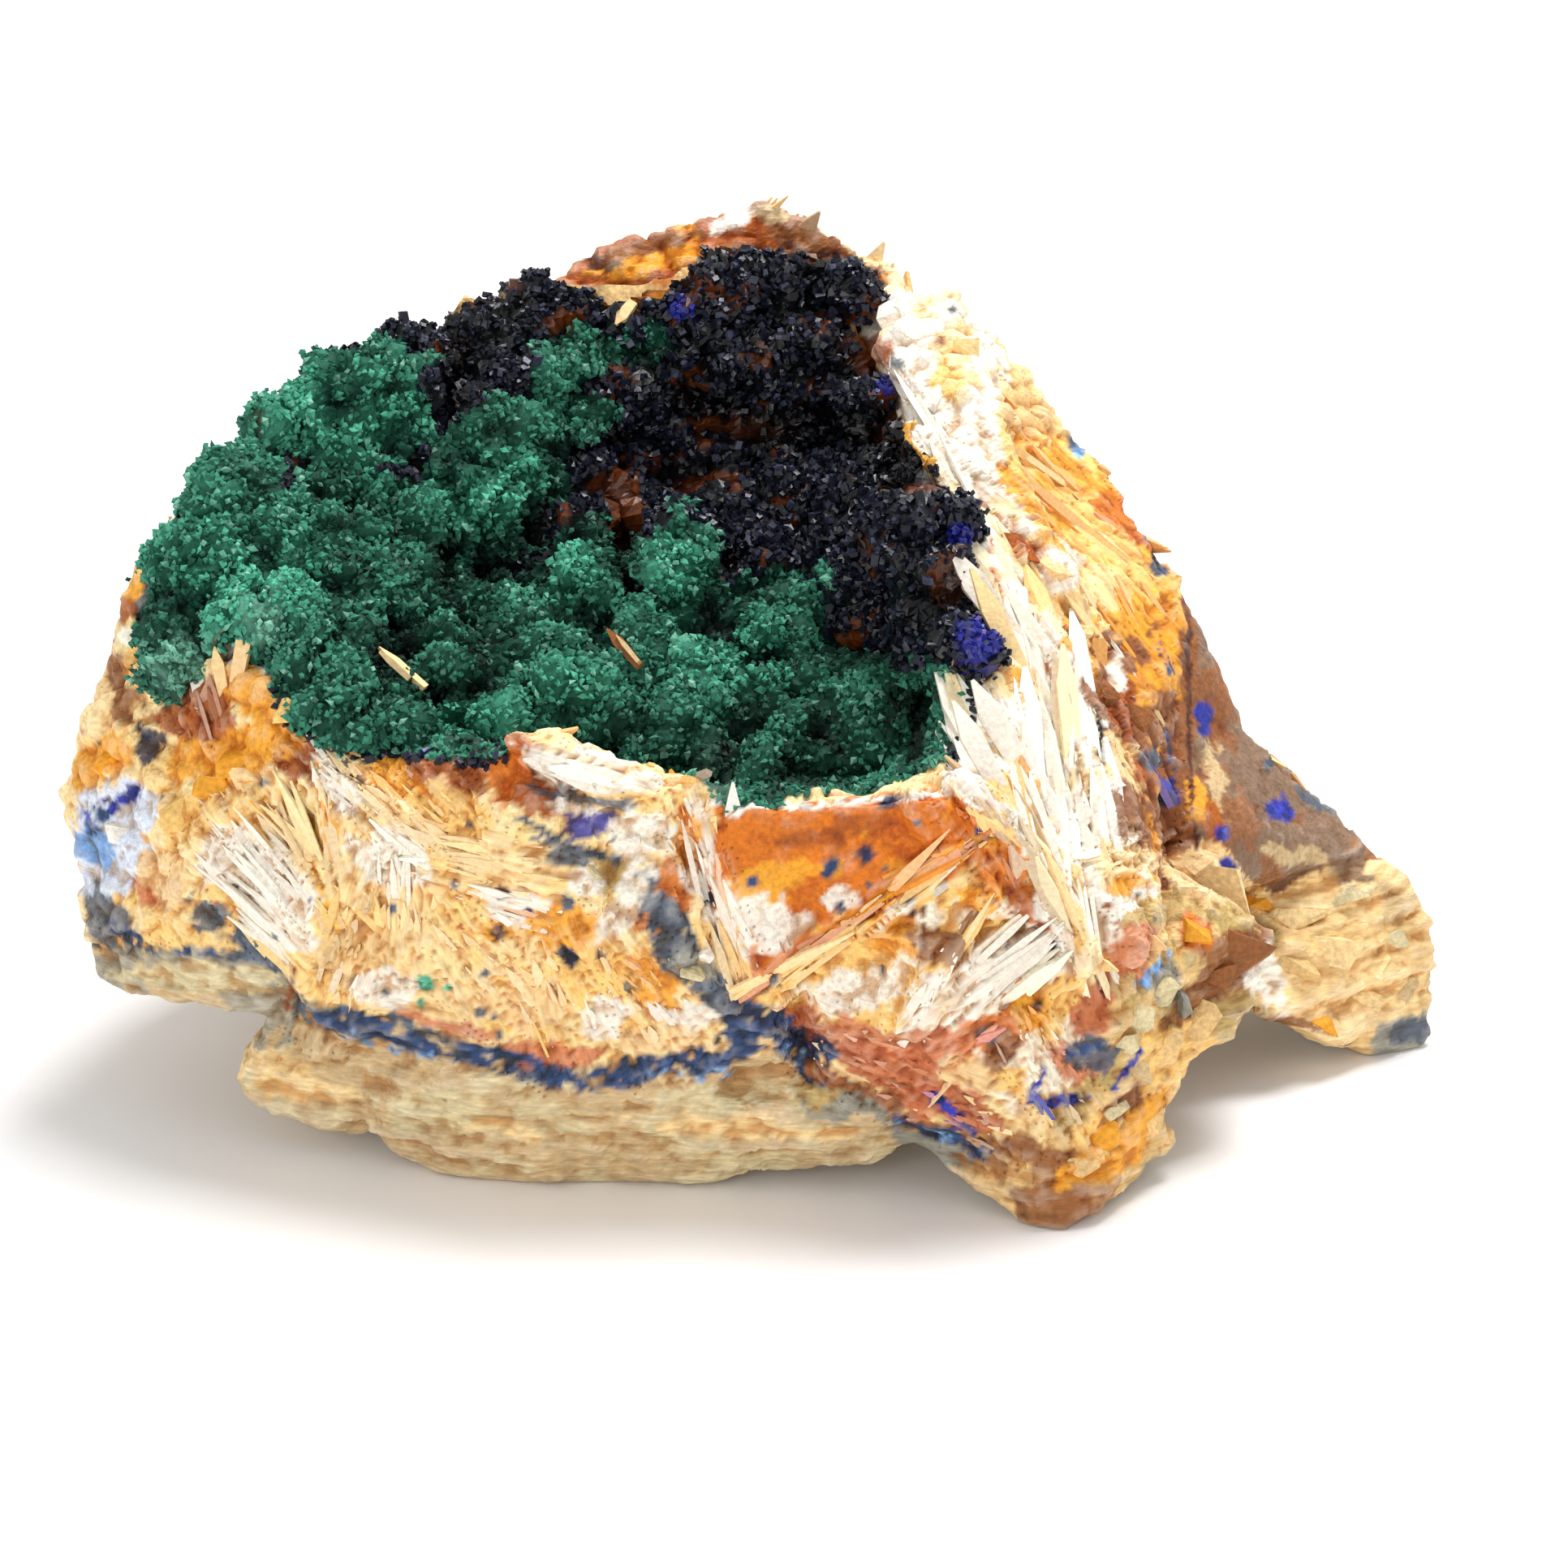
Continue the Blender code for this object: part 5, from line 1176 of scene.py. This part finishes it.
def make_bed(node, name):
    """One crust's bed, which its crystals stand on, with how far each of its points stands up and
    which kind of crystals it carries."""
    bed = finer_copy(node, name, BED_VOXEL)
    relax(bed.data, BED_SMOOTHING)
    points, normals = points_of(bed.data)
    covered = on_crust(points)
    kind = np.where(covered, np.where(is_green(points), GREEN, BLUE), BARE)
    height = np.zeros(len(points))
    for green_tall, blue_tall, size, seed in HEADS:
        first, _, number = cells(points / size, seed)
        dome = np.clip(1 - 1.6 * first ** 2, -0.6, 1) * (0.6 + 0.8 * number) - 0.25
        height += np.where(kind == GREEN, green_tall, blue_tall) * dome
    height += np.where(kind == GREEN, 0.9, 0.3) * fractal(points, 2.4, 3, 148)
    stands = np.clip((height + 1.2) / 3.2, 0, 1)
    height -= PIT_DEPTH * shaded_pit_share(points)
    height = np.where(covered, height, 0.2 * fractal(points, 1.5, 2, 142) - BED_SINK)
    move_points(bed.data, points + normals * height[:, None])
    # colours with painted light where the bed stands up and painted shade in its hollows
    green, blue = malachite_colours(points, stands * 0.7), azurite_colours(points, stands * 0.4)
    bare = np.clip(bare_share(points) + smoothstep(0.25, 0.45, fractal(points, 1.8, 2, 146)), 0, 1)
    # rust where the azurite is bare, with painted light where the bed stands up and less of it in the
    # shaded pits
    blue = mix(blue, COLOURS["rust_dark"] * (0.5 + stands[:, None]), bare * (1 - 0.8 * shaded_pit_share(points)))
    colours = np.where((kind == GREEN)[:, None], green, blue)
    colours = np.where(covered[:, None], colours, paint_rock(points, normals) * 0.9)
    colour_points(bed.data, colours)
    return bed, stands, kind


def fringe(points, normals, trees):
    """Which kind of crystals the rock itself carries at the crust's edge, and on the slope inside
    the front rim, where no crust lies over it."""
    kind = np.where(is_green(points), GREEN, BLUE)
    faces_viewer = normals @ VIEW_AHEAD < 0.1
    inner = ~faces_viewer & (normals[:, 2] > 0.2) & (points[:, 1] < INNER_SLOPE_END)
    kind[inner] = GREEN
    kind[~(on_crust(points) & faces_viewer | inner)] = BARE
    for i in np.flatnonzero(kind):
        place, normal = Vector(points[i]), Vector(normals[i])
        reach = INNER_REACH if inner[i] else OUTER_REACH
        start = place + normal * CLEAR_OF_SKIN
        close = any(tree.find_nearest(place, reach)[0] for tree in trees)
        if not close or any(tree.ray_cast(start, FRINGE_SKY)[0] for tree in trees):
            kind[i] = BARE
    return kind


def spread_over(beds, count, keep):
    """Random places on the beds, where keep(points, stands, kinds) gives their likelihood."""
    gathered = []
    for bed, stands, kind in beds:
        faces = bed.data.polygons
        corner = read(bed.data.loops, "vertex_index", 1, np.int64)[read(faces, "loop_start", 1, np.int64)]
        gathered.append((
            read(faces, "center", 3) / MM, read(faces, "normal", 3), read(faces, "area"),
            stands[corner], kind[corner],
        ))
    centres, normals, areas, stands, kinds = (np.concatenate(part) for part in zip(*gathered))
    weights = areas * keep(centres, stands, kinds)
    picked = chance.choice(len(areas), size=count, p=weights / weights.sum())
    side = np.sqrt(areas[picked]) / MM
    places = centres[picked] + chance.uniform(-0.5, 0.5, (count, 3)) * side[:, None]
    return places, normals[picked], stands[picked]


def make_grains(beds, name):
    """The malachite's small crystals."""
    count = GRAIN_COUNT
    places, normals, stands = spread_over(beds, count, lambda p, s, kinds: (kinds == GREEN) * (0.5 + s))
    lifted = chance.uniform(-0.1, 0.2, count)
    places = places + normals * lifted[:, None]
    # grains that stand higher get more painted light
    stands = np.clip(1.3 * stands - 0.2 + 0.6 * lifted + chance.normal(0, 0.1, count), 0, 1)
    colours = malachite_colours(places, stands)
    # a few grains get a painted glint of mint, less in the shaded pits
    tips = (chance.uniform(0, 1, count) > 0.86) * stands * chance.uniform(0.2, 0.6, count)
    colours = mix(colours, MALACHITE["mint"], tips * (1 - shaded_pit_share(places)))
    return scatter(
        name, grain_shape(), places, chance.uniform(0.17, 0.34, count),
        np.tile([1.25, 1.0, 0.75], (count, 1)), 0.25, colours,
    )


def make_crystals(beds):
    """The azurite's small dark blocky crystals."""
    count = CRYSTAL_COUNT

    def keep(points, stands, kinds):
        return (kinds == BLUE) * (1 - 0.97 * bare_share(points)) * (0.03 + stands ** 2)

    places, normals, stands = spread_over(beds, count, keep)
    lifted = chance.uniform(-0.1, 0.3, count)
    places = places + normals * lifted[:, None]
    # crystals that stand higher get more painted light
    colours = azurite_colours(places, np.clip(stands + lifted + chance.normal(0, 0.15, count), 0, 1))
    # a few crystals get a painted glint, less in the shaded pits
    glint = chance.uniform(0, 1, count) > 0.85
    shine = chance.uniform(0.2, 0.9, glint.sum()) * (1 - 0.9 * shaded_pit_share(places[glint]))
    colours[glint] = mix(colours[glint], AZURITE["light"], shine)
    stretch = chance.uniform(0.7, 1.2, (count, 3)) * np.array([1.15, 0.95, 0.65])
    return scatter(
        "azurite_crystals", block(), places, chance.uniform(0.2, 0.42, count), stretch, 0.16, colours
    )


# Splinters that lie on the crust: both ends in pixels, width, thickness and lift in mm, colour
SPLINTERS = [
    ((462, 812), (520, 862), 0.6, 0.4, 0.9, "cream"), ((455, 808), (492, 842), 0.6, 0.4, 0.7, "tan"),
    ((752, 778), (792, 824), 0.7, 0.25, 1.1, "brown"), ((762, 784), (790, 818), 0.3, 0.3, 1.2, "tan"),
    ((752, 416), (774, 388), 0.8, 0.5, 1.0, "pale"), ((768, 392), (806, 376), 0.8, 0.5, 1.0, "pale"),
    ((896, 1000), (902, 962), 0.7, 0.3, 0.8, "white"), ((884, 1000), (890, 934), 0.4, 0.25, 0.9, "teal"),
    ((826, 985), (833, 948), 0.6, 0.3, 0.6, "pale"), ((655, 922), (700, 938), 1.2, 0.4, 0.5, "white"),
    ((690, 930), (760, 950), 1.6, 0.5, 0.5, "white"), ((735, 938), (800, 972), 1.5, 0.5, 0.5, "white"),
]


# Crystals and broken blocks that stand out of the rock: colour, middle in pixels, half sizes in mm
# (across, up, deep), turn in degrees, how far out of the surface
BLOCKS = [
    ("cream", 1503, 1088, 3.6, 1.9, 1.7, 40, 0.4), ("pale", 1470, 1060, 1.5, 1.2, 1.2, 20, 0.2),
    ("brown", 1524, 1176, 2.8, 1.9, 1.6, -30, 0.1), ("brown", 1500, 1205, 1.7, 1.2, 1.2, 10, 0.0),
    ("golden", 1470, 1145, 1.5, 1.0, 1.0, 50, 0.1), ("quartz", 1432, 1212, 1.3, 1.5, 1.1, 15, 0.3),
    ("grey", 1450, 1236, 1.1, 1.3, 1.0, -20, 0.3), ("quartz", 1405, 1250, 1.3, 1.0, 1.0, 40, 0.2),
    ("sand", 1440, 1300, 2.0, 1.3, 1.2, -50, 0.0), ("sand", 1480, 1265, 2.1, 1.2, 1.2, -55, 0.0),
    ("tan", 1400, 1330, 1.7, 1.1, 1.0, -45, 0.1), ("quartz", 1375, 1372, 1.2, 0.9, 0.9, -30, 0.1),
    ("golden", 1360, 1405, 1.5, 0.9, 0.9, -40, 0.1), ("sand", 1420, 1385, 1.8, 1.1, 1.1, -50, 0.0),
    ("sand", 1335, 1440, 1.7, 0.9, 0.9, -30, 0.1), ("cream", 1440, 1345, 1.5, 0.9, 0.9, -60, 0.1),
    ("quartz", 1390, 1290, 0.9, 0.9, 0.8, 0, 0.3), ("golden", 1545, 1110, 1.9, 0.6, 1.0, 14, 0.0),
    ("cream", 1600, 1130, 2.2, 1.0, 1.1, 0, 0.0), ("quartz", 1660, 1105, 2.0, 0.9, 1.1, -8, 0.0),
    ("sand", 1720, 1110, 1.7, 1.1, 1.1, 20, 0.0), ("cream", 1640, 1170, 2.3, 1.2, 1.2, 6, 0.0),
    ("quartz", 1710, 1170, 1.9, 1.3, 1.2, -10, 0.0), ("sand", 1600, 1200, 2.1, 1.2, 1.1, 20, 0.0),
    ("cream", 1670, 1230, 2.1, 1.1, 1.1, 14, 0.0), ("tan", 1735, 1225, 1.5, 1.3, 1.1, 40, 0.0),
    ("golden", 1630, 1262, 2.3, 0.6, 0.9, 18, 0.1), ("quartz", 855, 1195, 1.0, 0.9, 0.8, 0, 0.3),
    ("white", 868, 1175, 0.7, 0.6, 0.6, 30, 0.3), ("white", 770, 1035, 1.2, 1.0, 0.9, 0, 0.2),
    ("quartz", 735, 1075, 1.0, 0.9, 0.9, 20, 0.2), ("golden", 290, 930, 1.8, 1.1, 1.1, -15, 0.1),
    ("amber", 215, 1000, 1.2, 1.7, 1.0, 10, 0.1), ("golden", 260, 965, 1.5, 0.9, 1.0, 0, 0.1),
    ("pale", 300, 960, 1.0, 0.9, 0.9, 0, 0.2), ("white", 150, 1020, 1.4, 1.2, 1.0, -20, 0.0),
    ("golden", 130, 935, 1.5, 0.9, 1.0, -25, 0.0), ("amber", 350, 880, 1.1, 1.0, 0.9, 20, 0.1),
    ("rust", 1265, 672, 1.7, 0.7, 0.8, 25, 0.1), ("pale", 1300, 700, 1.3, 0.7, 0.8, 35, 0.1),
    ("brown", 1362, 850, 1.1, 1.6, 0.9, -20, 0.1), ("brown", 1400, 885, 1.6, 0.9, 0.9, 30, 0.1),
    ("white", 1100, 385, 1.7, 1.1, 1.2, -30, 0.1), ("cream", 1190, 440, 1.1, 2.0, 1.1, 10, 0.0),
    ("white", 1148, 505, 1.2, 1.7, 1.0, 30, 0.0), ("brown", 905, 300, 1.8, 0.8, 1.0, -20, 0.0),
]


BLOCK_CORNERS = 11  # scattered for each block, before its hull is taken


def hull_of(corners):
    """Points and faces of the hull around some corners."""
    hull = bmesh.new()
    verts = [hull.verts.new(corner) for corner in corners]
    made = bmesh.ops.convex_hull(hull, input=verts)
    loose = {v for v in made["geom_interior"] + made["geom_unused"] if isinstance(v, bmesh.types.BMVert)}
    bmesh.ops.delete(hull, geom=list(loose), context="VERTS")
    hull.verts.index_update()
    points = [tuple(vert.co) for vert in hull.verts]
    faces = [tuple(vert.index for vert in face.verts) for face in hull.faces]
    hull.free()
    return points, faces


def make_blocks(tree):
    """Blocks with flat broken faces, each the hull of a few scattered corners."""
    points, faces, colours = [], [], []
    for name, u, v, wide, high, deep, turn, lift in BLOCKS:
        place, normal = cast(tree, u, v)
        if place is None:
            continue
        ways = chance.normal(size=(BLOCK_CORNERS, 3))
        ways /= np.abs(ways).max(axis=1)[:, None] ** 0.7 * np.linalg.norm(ways, axis=1)[:, None] ** 0.3
        angle = math.radians(turn)
        right = np.array([math.cos(angle), 0, 0]) - VIEW_UP * math.sin(angle)
        above = np.array([math.sin(angle), 0, 0]) + VIEW_UP * math.cos(angle)
        corners = ways * np.array([wide, high, deep]) * chance.uniform(0.8, 1.0, (BLOCK_CORNERS, 1))
        corners = corners @ np.stack([right, above, VIEW_AHEAD])
        corners = corners + np.array(place) + np.array(normal) * (lift - 0.45 * deep)
        hull_points, hull_faces = hull_of(corners)
        faces.extend(tuple(len(points) + k for k in face) for face in hull_faces)
        points.extend(hull_points)
        colours.extend(COLOURS[name] * chance.uniform(0.8, 1.05, (len(hull_points), 1)))
    return new_thing("blocks", np.array(points), faces, np.array(colours))


# Sharp blades of the rims that stand out over the crust: root and tip in pixels, how much nearer
# than the root the tip is, width and thickness in mm, colour
SPIKES = [
    ((1262, 800), (1168, 672), 0.3, 1.6, 0.6, "white"), ((1270, 840), (1196, 700), 0.2, 1.3, 0.5, "cream"),
    ((1262, 950), (1198, 838), 0.5, 1.6, 0.6, "white"), ((1240, 980), (1174, 864), 0.3, 1.4, 0.5, "white"),
    ((1270, 1090), (1172, 966), 0.5, 1.3, 0.5, "white"),
    ((1280, 1110), (1188, 1000), 0.4, 0.9, 0.5, "cream"), ((905, 1060), (903, 964), 0.3, 1.0, 0.5, "white"),
    ((880, 1040), (872, 985), 0.3, 0.8, 0.4, "cream"), ((856, 1040), (826, 948), 0.3, 1.0, 0.5, "golden"),
    ((822, 1010), (806, 955), 0.2, 0.8, 0.4, "pale"), ((252, 880), (236, 806), 0.2, 0.9, 0.4, "white"),
    ((274, 860), (264, 796), 0.2, 0.8, 0.4, "cream"), ((296, 810), (322, 745), 0.3, 1.3, 0.5, "white"),
    ((286, 840), (306, 764), 0.3, 1.0, 0.5, "pale"),
]


def make_spikes(tree):
    """The sharp blades, each from the rock to its tip's place in the view."""
    corners, colours = [], []
    for root, tip, nearer, wide, thick, name in SPIKES:
        place, normal = cast(tree, *root)
        if place is None:
            continue
        depth = (np.array(place) - VIEW_CENTRE) @ VIEW_AHEAD
        ends = at_depth(*tip, depth - nearer), np.array(place) - np.array(normal) * 0.3
        corners.extend(blade_points(*ends, -VIEW_AHEAD + 0.3 * np.array(normal), wide, thick))
        colours.append(COLOURS[name])
    return join_blades("rim_spikes", corners, colours)


def make_splinters(tree):
    """The splinters, each laid over the crust between two places of the view."""
    corners, colours = [], []
    for start, end, wide, thick, lift, name in SPLINTERS:
        (a, normal_a), (b, normal_b) = cast(tree, *start), cast(tree, *end)
        if a is None or b is None:
            continue
        out = np.array((normal_a + normal_b).normalized())
        corners.extend(blade_points(np.array(a) + out * lift, np.array(b) + out * lift, out, wide, thick))
        colours.append(COLOURS[name])
    return join_blades("splinters", corners, colours)


# The scene

FLOOR_HALF = 3.0  # m
WORLD_LIGHT = 0.66
# name, place in m, side in m, power in W
LAMPS = (
    ("key", (0.12, 0.14, 0.58), 0.26, 3.9),
    ("front", (-0.20, -0.60, 0.25), 0.30, 1.15),
)
LAMP_TARGET = Vector((0, 0, 0.02))


def make_floor():
    mesh = bpy.data.meshes.new("floor")
    signs = ((-1, -1), (1, -1), (1, 1), (-1, 1))
    mesh.from_pydata([(x * FLOOR_HALF, y * FLOOR_HALF, 0) for x, y in signs], [], [(0, 1, 2, 3)])
    floor = bpy.data.objects.new("floor", mesh)
    bpy.context.scene.collection.objects.link(floor)
    material = bpy.data.materials.new("floor")
    material.use_nodes = True
    shader = material.node_tree.nodes["Principled BSDF"]
    shader.inputs["Base Color"].default_value = (0.93, 0.93, 0.93, 1)
    shader.inputs["Roughness"].default_value = 0.35
    shader.inputs["Specular IOR Level"].default_value = 0.3
    mesh.materials.append(material)


def make_lights():
    world = bpy.data.worlds.new("studio")
    bpy.context.scene.world = world
    world.use_nodes = True
    background = world.node_tree.nodes["Background"]
    background.inputs["Color"].default_value = (1, 1, 1, 1)
    background.inputs["Strength"].default_value = WORLD_LIGHT
    for name, place, side, power in LAMPS:
        light = bpy.data.lights.new(name, "AREA")
        light.size = side
        light.energy = power
        lamp = bpy.data.objects.new(name, light)
        lamp.location = place
        aim = LAMP_TARGET - Vector(place)
        lamp.rotation_euler = aim.to_track_quat("-Z", "Y").to_euler()
        bpy.context.scene.collection.objects.link(lamp)


def make_camera():
    data = bpy.data.cameras.new("camera")
    data.sensor_width = 36
    data.lens = data.sensor_width * VIEW_DISTANCE / VIEW_WIDTH
    data.clip_start = 0.01
    camera = bpy.data.objects.new("camera", data)
    camera.location = Vector(EYE) * MM
    camera.rotation_euler = Vector(VIEW_AHEAD).to_track_quat("-Z", "Y").to_euler()
    bpy.context.scene.collection.objects.link(camera)
    bpy.context.scene.camera = camera


def split(thing, count):
    """The thing cut in bands along x, without a change of shape, so that each stays light."""
    mesh = thing.data
    x = read(mesh.polygons, "center", 3)[:, 0]
    limits = np.quantile(x, np.linspace(0, 1, count + 1))
    points, _ = points_of(mesh)
    colours = read(mesh.color_attributes["colour"].data, "color", 4)[:, :3]
    grain = read(mesh.attributes["grain"].data, "vector", 3)
    even = read(mesh.attributes["even"].data, "value")
    faces = [tuple(face.vertices) for face in mesh.polygons]
    parts = []
    for i in range(count):
        within = (x >= limits[i]) & ((x < limits[i + 1]) | (i == count - 1))
        chosen = [faces[n] for n in np.flatnonzero(within)]
        used = np.unique(np.concatenate([np.array(face) for face in chosen]))
        number = np.zeros(len(points), dtype=np.int64)
        number[used] = np.arange(len(used))
        moved = [tuple(int(number[k]) for k in face) for face in chosen]
        name = f"{thing.name}_{i + 1}"
        parts.append(new_thing(name, points[used], moved, colours[used], grain[used], even[used]))
    bpy.data.objects.remove(thing)
    return parts


def place_piece(piece, material, replaced=None):
    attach(piece, "root")
    if replaced:
        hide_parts(replaced)
    piece.data.materials.append(material)


def paint_cracks(rock, cracks):
    """The rock's painted colours, with hollows and cracks darkened by rust stain and painted shade, and
    edges lightened with a painted highlight.
    """
    colours = paint_rock(*points_of(rock.data))
    hollow = hollowness(rock.data, HOLLOW_ROUNDS)
    # rust stain and painted shade in the hollows and in the cracks between blades
    colours = mix(colours, colours * STAIN_AND_SHADE, 0.9 * smoothstep(0.01, 0.13, hollow))
    colours = mix(colours, colours * STAIN_AND_SHADE, 0.55 * cracks)
    # painted highlight on the edges that stand out
    return mix(colours, COLOURS["white"], 0.16 * smoothstep(0.03, 0.18, -hollow))


def paint_fringe(rock, colours, crust_trees):
    """The rock's colours under and beside the crusts, how far its own crystals stand up there and
    which kind they are."""
    points, normals = points_of(rock.data)
    under = on_crust(points) * near(points, crust_trees, 1.4)
    bottom = np.where(is_green(points)[:, None], MALACHITE["mid"], COLOURS["rust_dark"] * 0.5)
    colours = mix(colours, bottom, under)
    kind = fringe(points, normals, crust_trees)
    stands = np.clip(0.75 + 0.8 * fractal(points, 2.0, 2, 190), 0.2, 1)
    # the rock's own green crystals, with painted light where they stand up
    colours[kind == GREEN] = malachite_colours(points, 0.6 * stands)[kind == GREEN]
    # under its own azurite crystals the rock takes the azurite's painted shade
    colours[kind == BLUE] = AZURITE["deep"]
    return colours, stands, kind


def main():
    make_camera()
    make_floor()
    make_lights()
    scene = bpy.context.scene
    scene.view_settings.view_transform = "Standard"
    scene.view_settings.exposure = 0.0

    rock_look = mineral("baryte_and_quartz", 0.62, 0.35, 0.22, [(0.14, 0.6), (0.08, 0.22)], 0.35)
    blade_look = mineral("baryte", 0.55, 0.35, 0.12, [(0.06, 0.3)])
    green_look = mineral("malachite", 0.7, 0.2, 0.25, [(0.06, 0.2)])
    blue_look = mineral("azurite", 0.35, 0.4, 0.3, [(0.03, 0.25)])

    rock = finer_copy("matrix", "rock", ROCK_VOXEL)
    cracks, grain = shape_rock(rock)
    colours = paint_cracks(rock, cracks)
    beds = [make_bed("malachite_crust", "malachite_bed"), make_bed("azurite_crust", "azurite_bed")]
    place_piece(beds[0][0], green_look, "malachite_crust")
    place_piece(beds[1][0], blue_look, "azurite_crust")
    crust_trees = [tree_of(bed) for bed, _, _ in beds]
    colours, stands, kind = paint_fringe(rock, colours, crust_trees)
    colour_points(rock.data, colours, grain, evenness(rock.data, grain))
    beds.append((rock, stands, kind))
    for name in ("malachite_grains_1", "malachite_grains_2"):
        place_piece(make_grains(beds, name), green_look)
    place_piece(make_crystals(beds), blue_look)

    rock_tree = tree_of(rock)
    place_piece(make_blades(rock_tree, crust_trees), blade_look)
    place_piece(make_hidden_blades(rock), blade_look)
    place_piece(make_blocks(rock_tree), rock_look)
    place_piece(make_splinters(crust_trees[0]), blade_look)
    place_piece(make_spikes(rock_tree), blade_look)
    for part in split(rock, ROCK_BANDS):
        place_piece(part, rock_look, "matrix")


main()
